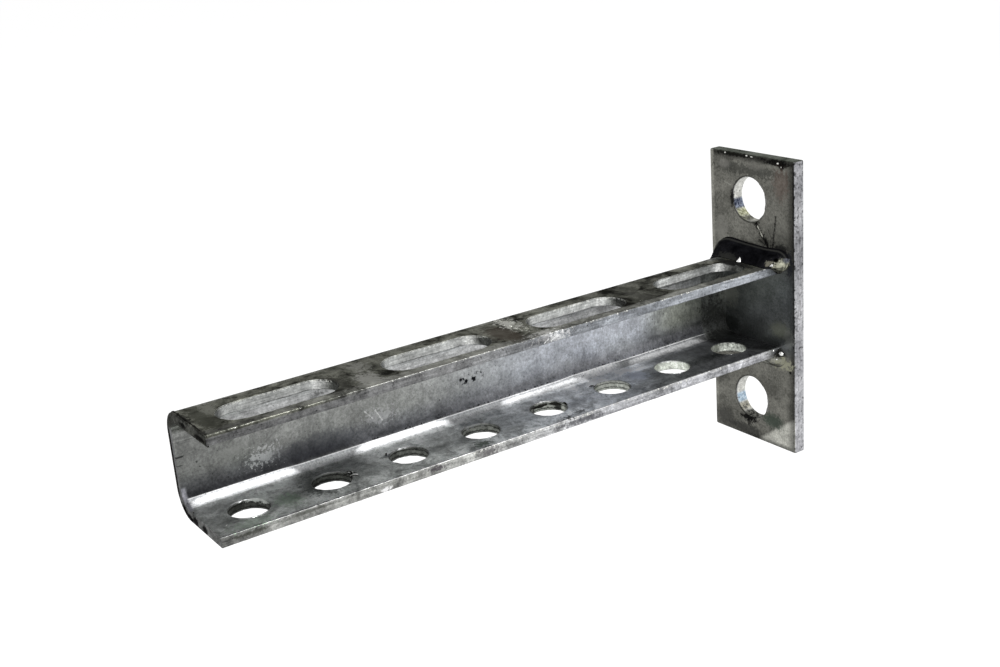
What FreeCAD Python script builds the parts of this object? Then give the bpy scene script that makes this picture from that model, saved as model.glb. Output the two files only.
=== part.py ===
import FreeCAD, Part
import math
import os

os.makedirs("parts", exist_ok=True)
V = FreeCAD.Vector

# A welded and galvanised steel wall bracket. A drilled length of flat bar stands against the wall,
# and an arm folded from one perforated sheet into a channel juts out from it, welded on all round
# its outside. Millimetres: the wall is the plane y = 0, the arm runs along -y, +z is up, and the
# channel's open side faces +x. The origin is the middle of the plate's back face.

# Wall plate, cut from flat bar
plate_width = 38.5
plate_height = 100.0
plate_thickness = 4.5
plate_edge_round = 0.6  # rolled long edges and dressed ends of the bar
bolt_hole = 15.0
bolt_end_distance = 15.0  # from each end of the plate to the middle of its hole
bolt_line_shift = 1.0  # the holes sit this far from the plate's middle, towards the web side

# Arm, one sheet folded into a channel
sheet = 3.0
arm_length = 200.0
arm_depth = 31.5  # over the outsides of the two flanges
flange_width = 28.5  # from the outside of the web to the free edge
inner_bend = 4.5  # inside radius of the two folds
lip_round = 0.4  # cut edges along the arm, softened by the zinc
web_inset = 3.0  # outside of the web, in from the plate's edge
arm_drop = 0.75  # middle of the arm below the middle of the plate

# Round holes along the lower flange, and slots along the upper one
flange_hole = 11.5
hole_pitch = 25.0
hole_start = 13.0  # from the arm's tip to the middle of the first hole
hole_line_shift = 1.0  # from the middle of the flange's flat part, towards the web
slot_width = 13.5
slot_length = 35.0
slot_pitch = 50.0
slot_start = 25.0  # from the arm's tip to the middle of the first slot
rim_bevel = 0.35  # rims of the punched holes, broken and softened by the zinc
root_clearance = 0.5  # least distance from the weld's toe to a hole or slot

# Fillet weld round the outside of the channel
weld_plate_leg = 5.5  # up and down the plate from the flanges
weld_arm_leg = 5.5  # out along the arm
weld_lip_leg = 4.5  # past the flanges' free edges
weld_toe = 0.3  # height of the bead where it ends on the arm
weld_bulge = 0.6  # how far the bead swells past a straight fillet

# Places that follow from the sizes
outer_bend = inner_bend + sheet
arm_root = -plate_thickness
arm_tip = arm_root - arm_length
web_out = -plate_width / 2 + web_inset
lip_x = web_out + flange_width
arm_top = arm_depth / 2 - arm_drop
arm_bottom = arm_top - arm_depth
flat_middle = (web_out + outer_bend + lip_x) / 2
weld_web_leg = web_inset - plate_edge_round
weld_end = arm_root - weld_arm_leg


def rounded_outline(corners, y):
    """Closed wire in the plane y through corners (x, z, radius), each turned by an arc of its radius."""
    count = len(corners)
    starts, ends, middles = [], [], []
    for i, (x, z, radius) in enumerate(corners):
        here = V(x, y, z)
        before = V(corners[i - 1][0], y, corners[i - 1][1]) - here
        after = V(corners[(i + 1) % count][0], y, corners[(i + 1) % count][1]) - here
        half_angle = before.getAngle(after) / 2
        reach = radius / math.tan(half_angle)
        bisector = (before.normalize() + after.normalize()).normalize()
        starts.append(here + before * reach)
        ends.append(here + after * reach)
        middles.append(here + bisector * (radius / math.sin(half_angle) - radius))
    edges = []
    for i in range(count):
        if corners[i][2] > 0:
            edges.append(Part.Arc(starts[i], middles[i], ends[i]).toShape())
        next_start = starts[(i + 1) % count]
        if ends[i].distanceToPoint(next_start) > 1e-6:
            edges.append(Part.makeLine(ends[i], next_start))
    return Part.Wire(edges)


def prism(corners, y_from, y_to):
    """Solid between two planes of constant y, with a rounded outline."""
    face = Part.Face(rounded_outline(corners, y_from))
    return face.extrude(V(0, y_to - y_from, 0))


def steps_along_arm(start, pitch, half_length):
    """y of each repeat from the tip inwards, for as long as it stays clear of the weld."""
    room = arm_length - weld_arm_leg - root_clearance - start - half_length
    count = int(room // pitch) + 1
    return [arm_tip + start + i * pitch for i in range(count)]


def bevel_rims(solid, rims, level_axis, levels):
    """Breaks the rims of holes in flat faces. A rim is (x, y, z, reach): its edges lie within reach."""
    chosen = []
    for edge in solid.Edges:
        middle = edge.valueAt((edge.FirstParameter + edge.LastParameter) / 2)
        ends = [vertex.Point for vertex in edge.Vertexes]
        points = ends + [middle]
        for level in levels:
            flat = all(abs(getattr(point, level_axis) - level) < 1e-4 for point in points)
            if flat and any(all(point.distanceToPoint(V(x, y, z)) < reach for point in points)
                            for x, y, z, reach in rims):
                chosen.append(edge)
    return solid.makeChamfer(rim_bevel, chosen)


def wall_plate():
    """Flat bar with softened edges and one bolt hole near each end."""
    corner = V(-plate_width / 2, -plate_thickness, -plate_height / 2)
    bar = Part.makeBox(plate_width, plate_thickness, plate_height, corner)
    bar = bar.makeFillet(plate_edge_round, bar.Edges)
    rims = []
    for side in (-1, 1):
        x, z = -bolt_line_shift, side * (plate_height / 2 - bolt_end_distance)
        drill = Part.makeCylinder(bolt_hole / 2, 3 * plate_thickness, V(x, -2 * plate_thickness, z), V(0, 1, 0))
        bar = bar.cut(drill)
        rims += [(x, y, z, 0.6 * bolt_hole) for y in (-plate_thickness, 0)]
    return bevel_rims(bar, rims, "y", (-plate_thickness, 0))


def channel_blank():
    """The folded sheet before punching: two flanges, a web and two bends, with softened cut edges."""
    return prism([
        (lip_x, arm_top, lip_round),
        (web_out, arm_top, outer_bend),
        (web_out, arm_bottom, outer_bend),
        (lip_x, arm_bottom, lip_round),
        (lip_x, arm_bottom + sheet, lip_round),
        (web_out + sheet, arm_bottom + sheet, inner_bend),
        (web_out + sheet, arm_top - sheet, inner_bend),
        (lip_x, arm_top - sheet, lip_round),
    ], arm_tip, arm_root)


def round_punch(x, y):
    """Tool that punches one round hole through the lower flange."""
    return Part.makeCylinder(flange_hole / 2, 3 * sheet, V(x, y, arm_bottom - sheet))


def slot_punch(x, y):
    """Tool that punches one slot with round ends through the upper flange."""
    radius = slot_width / 2
    straight = slot_length / 2 - radius
    low = arm_top - 2 * sheet
    ends = [Part.makeCylinder(radius, 3 * sheet, V(x, y + side * straight, low)) for side in (-1, 1)]
    middle = Part.makeBox(slot_width, 2 * straight, 3 * sheet, V(x - radius, y - straight, low))
    return ends[0].fuse([ends[1], middle]).removeSplitter()


def arm_channel():
    """The folded channel with round holes in its lower flange and slots in its upper one."""
    hole_x = flat_middle - hole_line_shift
    hole_steps = steps_along_arm(hole_start, hole_pitch, flange_hole / 2)
    slot_steps = steps_along_arm(slot_start, slot_pitch, slot_length / 2)
    punches = [round_punch(hole_x, y) for y in hole_steps]
    punches += [slot_punch(flat_middle, y) for y in slot_steps]
    channel = channel_blank().cut(punches)
    lower, upper = (arm_bottom, arm_bottom + sheet), (arm_top - sheet, arm_top)
    rims = [(hole_x, y, z, 0.6 * flange_hole) for y in hole_steps for z in lower]
    rims += [(flat_middle, y, z, 0.55 * slot_length) for y in slot_steps for z in upper]
    return bevel_rims(channel, rims, "z", lower + upper)


def bead_ring(share, y):
    """Outline round the channel, grown by that share of each of the weld's legs and its bulge."""
    swell = weld_toe + weld_bulge * math.sin(math.pi * share)
    up = share * (weld_plate_leg - weld_toe) + swell
    web = share * (weld_web_leg - weld_toe) + swell
    lip = share * (weld_lip_leg - weld_toe) + swell
    bend = outer_bend + (up + web) / 2
    return rounded_outline([
        (lip_x + lip, arm_top + up, lip),
        (web_out - web, arm_top + up, bend),
        (web_out - web, arm_bottom - up, bend),
        (lip_x + lip, arm_bottom - up, lip),
    ], y)


def weld_bead():
    """Bead lofted from its foot on the plate to its toe on the arm, open at the channel's mouth."""
    shares = (1, 0.5, 0)
    rings = [bead_ring(share, arm_root - (1 - share) * weld_arm_leg) for share in shares]
    bead = Part.makeLoft(rings, True, False)
    arm = prism([
        (lip_x, arm_top, lip_round),
        (web_out, arm_top, outer_bend),
        (web_out, arm_bottom, outer_bend),
        (lip_x, arm_bottom, lip_round),
    ], weld_end - sheet, arm_root + sheet)
    flare = 2 * weld_lip_leg
    mouth = prism([
        (lip_x - sheet, arm_top - sheet, 0),
        (lip_x, arm_top - sheet, 0),
        (lip_x + flare, arm_top - sheet + flare, 0),
        (lip_x + flare, arm_bottom + sheet - flare, 0),
        (lip_x, arm_bottom + sheet, 0),
        (lip_x - sheet, arm_bottom + sheet, 0),
    ], weld_end - sheet, arm_root + sheet)
    return bead.cut([arm, mouth])


pieces = {
    "wall_plate": wall_plate(),
    "arm_channel": arm_channel(),
    "weld_bead": weld_bead(),
}
for name, shape in pieces.items():
    solid = shape.Solids[0]
    solid.exportStep(f"parts/{name}.step")
    box = solid.BoundBox
    print(f"{name}: {len(shape.Solids)} solid, {solid.Volume:.0f} mm3, valid {solid.isValid()},"
          f" x {box.XMin:.2f} to {box.XMax:.2f}, y {box.YMin:.2f} to {box.YMax:.2f},"
          f" z {box.ZMin:.2f} to {box.ZMax:.2f}")
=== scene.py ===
# %% [markdown]
# # A galvanised wall bracket
#
# The bracket is a folded steel arm, punched with slots and holes and welded to a drilled plate. The
# whole thing was then dipped in molten zinc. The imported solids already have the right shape, so this
# lesson dresses them: it sets up the camera and the light, works out the zinc finish, and adds what a
# dip tank leaves behind, which is a lumpy weld, burrs round the holes, drops and specks.
# Everything is in metres, and a helper turns millimetres into metres where that reads better.

# %% Load the frame and measure it
import math

import bpy
import numpy as np
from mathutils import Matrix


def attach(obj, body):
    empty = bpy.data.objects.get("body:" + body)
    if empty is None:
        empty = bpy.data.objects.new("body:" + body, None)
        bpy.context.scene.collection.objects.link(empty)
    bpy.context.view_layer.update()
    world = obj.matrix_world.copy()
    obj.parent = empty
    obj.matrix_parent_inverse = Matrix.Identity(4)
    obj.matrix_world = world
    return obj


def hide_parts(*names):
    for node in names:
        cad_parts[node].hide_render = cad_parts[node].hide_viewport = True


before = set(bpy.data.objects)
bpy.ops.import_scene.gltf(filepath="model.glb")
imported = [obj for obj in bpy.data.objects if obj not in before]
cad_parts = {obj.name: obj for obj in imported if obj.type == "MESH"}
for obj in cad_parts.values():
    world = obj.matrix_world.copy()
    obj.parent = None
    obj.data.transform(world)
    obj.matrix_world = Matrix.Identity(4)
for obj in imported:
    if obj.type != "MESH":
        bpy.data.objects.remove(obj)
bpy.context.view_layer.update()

MM = 0.001

# %% [markdown]
# ## The camera
#
# The photograph looks down on the arm from in front and to one side, with its long side nearly across
# the view. A camera's place can be found by trial, or worked out from points whose place on the real
# object is known. Here the corners and the row of holes, spaced 25 mm apart, gave the place, the turn
# and the focal length together.

# %% Set the camera
scene = bpy.context.scene
camera_data = bpy.data.cameras.new("camera")
camera_data.sensor_width = 36
camera_data.lens = 48.618
camera_data.clip_start = 0.01
camera_data.clip_end = 50
camera = bpy.data.objects.new("camera", camera_data)
camera.location = (0.31612, -0.31168, 0.14197)
camera.rotation_euler = [math.radians(angle) for angle in (71.244, 4.251, 55.585)]
scene.collection.objects.link(camera)
scene.camera = camera
print("camera", round((camera.location.length) / MM), "mm from the plate's back, lens", camera_data.lens, "mm")

# %% [markdown]
# ## Short helpers for node trees
#
# Materials are made of nodes joined by links. Writing each link by hand is long, so one helper makes a
# node, sets its options and fills its sockets: a plain value is typed in, and a socket is linked.

# %% Make nodes in one line each
def node(tree, kind, sockets=(), **options):
    """Adds a node. sockets is a dict from the name or number of an input to a value or to a socket."""
    made = tree.nodes.new(kind)
    for name, value in options.items():
        setattr(made, name, value)
    for name, value in dict(sockets).items():
        if isinstance(value, bpy.types.NodeSocket):
            tree.links.new(value, made.inputs[name])
        else:
            made.inputs[name].default_value = value
    return made


def tree_of(*values):
    """The node tree of the first socket among the values, which is where a node that uses them belongs."""
    return next(value.id_data for value in values if isinstance(value, bpy.types.NodeSocket))


def maths(operation, *values, clamp=False):
    """Result of one sum on numbers, such as ADD or MULTIPLY."""
    sockets = dict(enumerate(values))
    return node(tree_of(*values), "ShaderNodeMath", sockets, operation=operation, use_clamp=clamp).outputs[0]


def vector_maths(operation, *values, output="Vector"):
    """Result of one sum on vectors, such as SUBTRACT, or LENGTH with the output Value."""
    sockets = dict(enumerate(values))
    return node(tree_of(*values), "ShaderNodeVectorMath", sockets, operation=operation).outputs[output]


def noise_at(place, scale, detail, **others):
    """Value of a noise texture at a place."""
    sockets = {"Vector": place, "Scale": scale, "Detail": detail, **others}
    return node(place.id_data, "ShaderNodeTexNoise", sockets).outputs[0]


def ramp(value, start, end):
    """0 where value is at start, 1 where it is at end, and a smooth step between. The step never leaves
    that range, so it goes without a clamp, which would come last in the material and keep everything
    before it waiting."""
    sockets = {"Value": value, "From Min": start, "From Max": end}
    step = node(value.id_data, "ShaderNodeMapRange", sockets, interpolation_type="SMOOTHSTEP", clamp=False)
    return step.outputs[0]


def colour_mix(share, low, high, kind="MIX"):
    """Colour low where share is 0 and high where it is 1."""
    low, high = ((*value, 1) if isinstance(value, tuple) else value for value in (low, high))
    sockets = {0: share, 6: low, 7: high}
    return node(tree_of(share, low, high), "ShaderNodeMix", sockets, data_type="RGBA", blend_type=kind).outputs[2]


def number_mix(share, low, high):
    """Number low where share is 0 and high where it is 1."""
    sockets = {0: share, 2: low, 3: high}
    return node(tree_of(share, low, high), "ShaderNodeMix", sockets, data_type="FLOAT").outputs[0]


def shaded(colour, shade):
    """Colour made brighter or darker by a number."""
    grey = node(colour.id_data, "ShaderNodeCombineColor", {0: shade, 1: shade, 2: shade}).outputs[0]
    return colour_mix(1.0, colour, grey, "MULTIPLY")


def new_group(name, inputs, outputs):
    """An empty shader node group with named sockets. inputs maps a name to its kind and start value."""
    tree = bpy.data.node_groups.new(name, "ShaderNodeTree")
    for socket, (kind, value) in inputs.items():
        made = tree.interface.new_socket(name=socket, in_out="INPUT", socket_type=f"NodeSocket{kind}")
        if value is not None:
            made.default_value = value
    for socket, kind in outputs.items():
        tree.interface.new_socket(name=socket, in_out="OUTPUT", socket_type=f"NodeSocket{kind}")
    return tree, tree.nodes.new("NodeGroupInput").outputs, tree.nodes.new("NodeGroupOutput").inputs


def use_group(group, **sockets):
    """Places a group in a material. A space in a socket's name is written as an underscore."""
    sockets = {name.replace("_", " "): value for name, value in sockets.items()}
    return node(tree_of(*sockets.values()), "ShaderNodeGroup", sockets, node_tree=group).outputs


def give(out, **results):
    """Links a group's results to its outputs, whose names are written in the same way."""
    for name, value in results.items():
        value.id_data.links.new(value, out[name.replace("_", " ")])


print("node helpers ready")

# %% [markdown]
# ## The studio
#
# The object was photographed on white. A white world lights it from all round, with a large dim lamp at
# its open side, and one small soft lamp nearly overhead does the rest: it shines through the slots and
# draws the bright dashes along the lower fold, to which the arm's material adds a painted highlight. To
# the camera and in reflections the world and the floor are plain white, while the light that they really
# give stays at a level where a colour looks as it was written.

# %% White world
def seen_directly(tree):
    """1 for the camera, in reflections and through glass, and 0 for the light that is given off."""
    path = node(tree, "ShaderNodeLightPath").outputs
    seen = maths("MAXIMUM", path["Is Camera Ray"], path["Is Glossy Ray"])
    return maths("MAXIMUM", seen, path["Is Transmission Ray"])


def world_of_white(diffuse_level):
    """White to the camera and in reflections, and dimmer as a lamp."""
    world = bpy.data.worlds.new("white_studio")
    world.use_nodes = True
    tree = world.node_tree
    tree.nodes.clear()
    levels = {"Value": seen_directly(tree), "To Min": diffuse_level, "To Max": 1.0}
    strength = node(tree, "ShaderNodeMapRange", levels).outputs[0]
    background = node(tree, "ShaderNodeBackground", {"Color": (1, 1, 1, 1), "Strength": strength})
    tree.links.new(background.outputs[0], node(tree, "ShaderNodeOutputWorld").inputs["Surface"])
    scene.world = world


scene.view_settings.view_transform = "Standard"
WORLD_LIGHT = 0.45
world_of_white(WORLD_LIGHT)
print("world is white, and lights at", WORLD_LIGHT)

# %% Floor that is white but keeps a shadow
FLOOR_HEIGHT, FLOOR_HALF = -0.16, 12.0
GLOW, THIN_PAINT = 0.88, (0.26, 0.26, 0.26, 1)  # added up under the lamps, these come out white


def floor_material():
    """Plain pale paint; the camera and reflections also see a glow that makes it white."""
    material = bpy.data.materials.new("studio_floor")
    material.use_nodes = True
    tree = material.node_tree
    tree.nodes.clear()
    seen = seen_directly(tree)
    paint = node(tree, "ShaderNodeBsdfDiffuse", {"Color": (0.8, 0.8, 0.8, 1)}).outputs[0]
    glow = node(tree, "ShaderNodeEmission", {"Color": (1, 1, 1, 1), "Strength": GLOW}).outputs[0]
    thin_paint = node(tree, "ShaderNodeBsdfDiffuse", {"Color": THIN_PAINT}).outputs[0]
    white = node(tree, "ShaderNodeAddShader", {0: thin_paint, 1: glow}).outputs[0]
    shader = node(tree, "ShaderNodeMixShader", {0: seen, 1: paint, 2: white}).outputs[0]
    tree.links.new(shader, node(tree, "ShaderNodeOutputMaterial").inputs["Surface"])
    return material


floor_mesh = bpy.data.meshes.new("studio_floor")
floor_corners = [(x * FLOOR_HALF, y * FLOOR_HALF, FLOOR_HEIGHT) for x, y in ((-1, -1), (1, -1), (1, 1), (-1, 1))]
floor_mesh.from_pydata(floor_corners, [], [(0, 1, 2, 3)])
floor = bpy.data.objects.new("studio_floor", floor_mesh)
scene.collection.objects.link(floor)
floor_mesh.materials.append(floor_material())
print("floor", round(FLOOR_HEIGHT / MM), "mm below the bracket's middle")

# %% Soft lamps
MIDDLE = np.array([-0.0015, -0.1, 0.0])  # of the bracket


def soft_lamp(name, direction, distance, size, light):
    """Square lamp that faces the bracket. light is how much it gives there; pi makes white paint white."""
    unit = np.array(direction) / np.linalg.norm(direction)
    data = bpy.data.lights.new(name, "AREA")
    data.shape = "SQUARE"
    data.size = size
    data.energy = light * math.pi * distance ** 2
    lamp = bpy.data.objects.new(name, data)
    lamp.location = MIDDLE + unit * distance
    away = lamp.location - type(lamp.location)(MIDDLE)
    lamp.rotation_mode = "QUATERNION"
    lamp.rotation_quaternion = away.to_track_quat("Z", "Y")
    scene.collection.objects.link(lamp)
    print(name, "at", [round(float(v), 2) for v in lamp.location], "m,", round(data.energy, 1), "W")


soft_lamp("overhead_softbox", (0.27, 0.222, 0.937), distance=1.4, size=0.11, light=2.3)
soft_lamp("side_softbox", (0.9, -0.3, 0.35), distance=1.6, size=1.0, light=0.35)

# %% [markdown]
# ## Surfaces from arrays
#
# Every added piece is a closed skin made from a stack of rings, like a stack of hoops. The points are
# worked out as one array: piece, ring, point on the ring, and the three directions. A point in the
# middle of the first and last ring closes the ends, so no skin is left open.

# %% Skin over stacked rings
def skin(name, rings, material, closed=False):
    """Closed skins over rings[piece, ring, point, xyz], in millimetres, as one object that rides on the
    bracket. With closed the last ring joins the first, as round a hole; else both ends get a cap."""
    count, stack, around, _ = rings.shape
    ring, spot = np.meshgrid(np.arange(stack if closed else stack - 1), np.arange(around), indexing="ij")
    after, above = (spot + 1) % around, (ring + 1) % stack
    corners = [ring * around + spot, ring * around + after, above * around + after, above * around + spot]
    quads = np.stack(corners, axis=-1).reshape(-1, 4)
    points, caps = rings.reshape(count, -1, 3), np.zeros((0, 3), int)
    if not closed:
        ends = np.stack([rings[:, 0].mean(axis=1), rings[:, -1].mean(axis=1)], axis=1)
        points = np.concatenate([points, ends], axis=1)
        low, high = np.full(around, stack * around), np.full(around, stack * around + 1)
        first, second, top = np.arange(around), (np.arange(around) + 1) % around, (stack - 1) * around
        caps = [np.stack([low, second, first], -1), np.stack([high, top + first, top + second], -1)]
        caps = np.concatenate(caps)
    corner = points[:, np.concatenate([quads[:, [0, 1, 2]], quads[:, [0, 2, 3]], caps])]
    volume = np.einsum("nij,nij->n", corner[:, :, 0], np.cross(corner[:, :, 1], corner[:, :, 2]))
    inside_out = (volume < 0)[:, None, None]
    shift = (np.arange(count) * points.shape[1])[:, None, None]
    quads = np.where(inside_out, quads[:, ::-1], quads) + shift
    caps = np.where(inside_out, caps[:, ::-1], caps) + shift
    return mesh_object(name, points.reshape(-1, 3) * MM, quads.reshape(-1, 4), caps.reshape(-1, 3), material)


def mesh_object(name, points, quads, triangles, material):
    """Puts arrays of points and faces into a smooth mesh."""
    mesh = bpy.data.meshes.new(name)
    corners = np.concatenate([quads.ravel(), triangles.ravel()]).astype(np.int32)
    starts = np.concatenate([np.arange(len(quads)) * 4, 4 * len(quads) + np.arange(len(triangles)) * 3])
    mesh.vertices.add(len(points))
    mesh.vertices.foreach_set("co", points.astype(np.float32).ravel())
    mesh.loops.add(len(corners))
    mesh.loops.foreach_set("vertex_index", corners)
    mesh.polygons.add(len(starts))
    mesh.polygons.foreach_set("loop_start", starts.astype(np.int32))
    mesh.polygons.foreach_set("use_smooth", np.ones(len(starts), bool))
    mesh.update(calc_edges=True)
    mesh.validate()
    mesh.materials.append(material)
    piece = bpy.data.objects.new(name, mesh)
    scene.collection.objects.link(piece)
    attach(piece, "root")
    low, high = points.min(axis=0) / MM, points.max(axis=0) / MM
    count = len(quads) * 2 + len(triangles)
    print(f"{name}: {count} triangles, from {np.round(low, 2)} to {np.round(high, 2)} mm")
    return piece


# %% Smooth random waves
def waves(points, size, seed, octaves=3):
    """Smooth random height at each point, about -1 to 1: the sum of sine waves that run in random
    directions, each octave half as long and half as high as the one before. size is in millimetres."""
    random = np.random.default_rng(seed)
    height = np.zeros(points.shape[:-1])
    for octave in range(octaves):
        directions = random.normal(size=(10, 3))
        directions /= np.linalg.norm(directions, axis=1, keepdims=True)
        lengths = size / 2 ** octave * random.uniform(0.7, 1.4, 10)
        phases = random.uniform(0, 2 * np.pi, 10)
        angles = points @ (directions / lengths[:, None]).T * 2 * np.pi + phases
        height += np.sin(angles).sum(axis=-1) / 2 ** octave / 4.5
    return height


print("surface helpers ready")

# %% [markdown]
# ## Where the finish changes
#
# Zinc looks different on a flat face that lay uppermost, on a cut edge, in a fold and inside a punched
# hole, and some of these places also get painted light and shade. The masks for these places come from two
# things that a material can read on any object: the way the surface faces, and where it is. One node group
# turns both into numbers, in millimetres.

# %% Group: facing and place
def build_facing_group():
    """How much the surface faces up, out of the channel's open side, or to the front, how far it is a
    wall, how level it lies, its place, and one noise that all the marks share for their ragged edges."""
    outputs = {"Up": "Float", "Open Side": "Float", "Front": "Float", "Ahead": "Float", "Wall": "Float",
               "Level": "Float", "Place": "Vector", "X": "Float", "Y": "Float", "Z": "Float", "Noise": "Float"}
    tree, _, out = new_group("facing", {}, outputs)
    read = node(tree, "ShaderNodeTexCoord").outputs
    normal = node(tree, "ShaderNodeSeparateXYZ", {0: read["Normal"]}).outputs
    for name, axis, sign in (("Up", "Z", 1.0), ("Open Side", "X", 1.0), ("Front", "Y", -1.0)):
        facing = maths("MULTIPLY", normal[axis], sign)
        tree.links.new(ramp(facing, 0.5, 0.8), out[name])
    give(out, Ahead=facing)  # the last of the three, without limits
    give(out, Wall=ramp(maths("ABSOLUTE", normal["Z"]), 0.6, 0.3), Level=normal["Z"])
    place = node(tree, "ShaderNodeVectorMath", {0: read["Object"], "Scale": 1 / MM}, operation="SCALE").outputs[0]
    axes = node(tree, "ShaderNodeSeparateXYZ", {0: place}).outputs
    give(out, Place=place, X=axes["X"], Y=axes["Y"], Z=axes["Z"], Noise=noise_at(place, 0.9, 4.0, Roughness=0.7))
    return tree


facing_group = build_facing_group()
print("facing group:", len(facing_group.nodes), "nodes")

# %% [markdown]
# ## The zinc itself
#
# A dipped coat is never even. Large clouds come from the way it drained, spangles are the crystals that
# form as it sets, and there is a fine grain and a few dark pits. Each is one noise or cell texture, and
# the group mixes them between a dark and a pale colour that the material chooses for each place.

# %% Group: zinc coat
def build_zinc_group():
    """Colour, roughness and height of a zinc coat between two colours, from four textures."""
    inputs = {"Place": ("Vector", None), "Dark": ("Color", (0.1, 0.1, 0.1, 1)),
              "Pale": ("Color", (0.4, 0.4, 0.4, 1)), "Gain": ("Float", 1.0), "Cloud Size": ("Float", 12.0),
              "Blur": ("Float", 0.16), "Grain": ("Float", 0.3), "Pits": ("Float", 0.5)}
    outputs = {"Colour": "Color", "Roughness": "Float", "Height": "Float"}
    tree, given, out = new_group("zinc_coat", inputs, outputs)
    scale = maths("DIVIDE", 1.0, given["Cloud Size"])
    cloud = noise_at(given["Place"], scale, 6.0, Roughness=0.66, Distortion=0.6)
    limits = {"From Min": maths("SUBTRACT", 0.5, given["Blur"]), "From Max": maths("ADD", 0.5, given["Blur"])}
    share = node(tree, "ShaderNodeMapRange", {"Value": cloud, **limits}).outputs[0]
    colour = colour_mix(share, given["Dark"], given["Pale"])
    crystal = node(tree, "ShaderNodeTexVoronoi", {"Vector": given["Place"], "Scale": 0.6}).outputs["Color"]
    crystal = node(tree, "ShaderNodeSeparateColor", {0: crystal}).outputs[0]
    grain = noise_at(given["Place"], 1.3, 5.0, Roughness=0.82)
    spread = maths("MULTIPLY", maths("SUBTRACT", grain, 0.5), maths("MULTIPLY", given["Grain"], 7.0))
    spangle = maths("MULTIPLY", maths("SUBTRACT", crystal, 0.5), 0.2)
    bright = maths("ADD", maths("ADD", spread, spangle), 1.0)
    bright = maths("MAXIMUM", bright, 0.12)
    pit = noise_at(given["Place"], 0.9, 2.5)
    pit = maths("MULTIPLY", ramp(pit, 0.68, 0.74), given["Pits"])
    bright = maths("MULTIPLY", bright, maths("SUBTRACT", 1.0, pit))
    bright = maths("MULTIPLY", bright, given["Gain"])
    give(out, Colour=shaded(colour, bright))
    rough = maths("ADD", maths("MULTIPLY", cloud, -0.22), 0.48)
    give(out, Roughness=maths("ADD", rough, maths("MULTIPLY", spangle, 0.4)))
    height = maths("ADD", cloud, maths("MULTIPLY", grain, 0.2))
    give(out, Height=maths("SUBTRACT", height, maths("MULTIPLY", pit, 0.4)))
    return tree


zinc_group = build_zinc_group()
print("zinc group:", len(zinc_group.nodes), "nodes")

# %% [markdown]
# ## Single marks
#
# A real bracket has marks that are there once: a stain under a hole, a scratch, a rubbed patch. A noise
# texture can't put one where it belongs, so two small groups do. One gives an oval patch with a ragged
# edge round a point, and the other a thin line between two points. Two more give shades drawn out in one
# direction and scattered flecks.

# %% Group: oval patch
def build_spot_group():
    """1 in the middle of an oval patch and 0 outside it. The distance from the centre is counted in half
    sizes, and noise is added to it so that the edge is ragged."""
    inputs = {"Place": ("Vector", None), "Noise": ("Float", 0.5), "Centre": ("Vector", (0, 0, 0)),
              "Half Size": ("Vector", (1, 1, 1)), "Ragged": ("Float", 0.5)}
    tree, given, out = new_group("soft_spot", inputs, {"Amount": "Float"})
    away = vector_maths("SUBTRACT", given["Place"], given["Centre"])
    away = vector_maths("DIVIDE", away, given["Half Size"])
    distance = vector_maths("LENGTH", away, output="Value")
    shift = maths("MULTIPLY", maths("SUBTRACT", given["Noise"], 0.5), maths("MULTIPLY", given["Ragged"], 4.0))
    give(out, Amount=ramp(maths("ADD", distance, shift), 1.1, 0.5))
    return tree


# %% Group: thin line
def build_line_group():
    """1 on a straight line between two points and 0 away from it. Each place is moved to the nearest
    point of the line, and the distance between the two is compared with the width."""
    inputs = {"Place": ("Vector", None), "Noise": ("Float", 0.5), "Start": ("Vector", (0, 0, 0)),
              "End": ("Vector", (1, 0, 0)), "Width": ("Float", 0.3)}
    tree, given, out = new_group("thin_line", inputs, {"Amount": "Float"})
    line = vector_maths("SUBTRACT", given["End"], given["Start"])
    offset = vector_maths("SUBTRACT", given["Place"], given["Start"])
    share = maths("DIVIDE", vector_maths("DOT_PRODUCT", offset, line, output="Value"),
                  vector_maths("DOT_PRODUCT", line, line, output="Value"), clamp=True)
    nearest = node(tree, "ShaderNodeVectorMath", {0: line, "Scale": share}, operation="SCALE").outputs[0]
    distance = vector_maths("LENGTH", vector_maths("SUBTRACT", offset, nearest), output="Value")
    wobble = maths("MULTIPLY", maths("SUBTRACT", given["Noise"], 0.5), maths("MULTIPLY", given["Width"], 4.5))
    give(out, Amount=ramp(maths("ADD", distance, wobble), given["Width"], 0.0))
    return tree


# %% Groups: drawn lines and bright flecks
def build_streak_group():
    """Shade near 1 that changes quickly across and slowly along: noise on a stretched place."""
    inputs = {"Place": ("Vector", None), "Stretch": ("Vector", (1, 0.05, 1)), "Strength": ("Float", 0.3)}
    tree, given, out = new_group("drawn_lines", inputs, {"Shade": "Float"})
    noise = noise_at(vector_maths("MULTIPLY", given["Place"], given["Stretch"]), 1.0, 4.0, Roughness=0.65)
    shade = maths("MULTIPLY", maths("SUBTRACT", noise, 0.5), maths("MULTIPLY", given["Strength"], 6.0))
    give(out, Shade=maths("MAXIMUM", maths("ADD", shade, 1.0), 0.15))
    return tree


def build_fleck_group():
    """1 on small scattered flecks, where a fine noise passes a limit."""
    inputs = {"Place": ("Vector", None), "Size": ("Float", 1.0), "Limit": ("Float", 0.6)}
    tree, given, out = new_group("flecks", inputs, {"Amount": "Float"})
    noise = noise_at(given["Place"], maths("DIVIDE", 1.0, given["Size"]), 2.0)
    limits = {"From Min": given["Limit"], "From Max": maths("ADD", given["Limit"], 0.07)}
    give(out, Amount=node(tree, "ShaderNodeMapRange", {"Value": noise, **limits}).outputs[0])
    return tree


spot_group, line_group = build_spot_group(), build_line_group()
streak_group, fleck_group = build_streak_group(), build_fleck_group()
mark_groups = (spot_group, line_group, streak_group, fleck_group)
print("mark groups:", [len(group.nodes) for group in mark_groups], "nodes")

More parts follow.
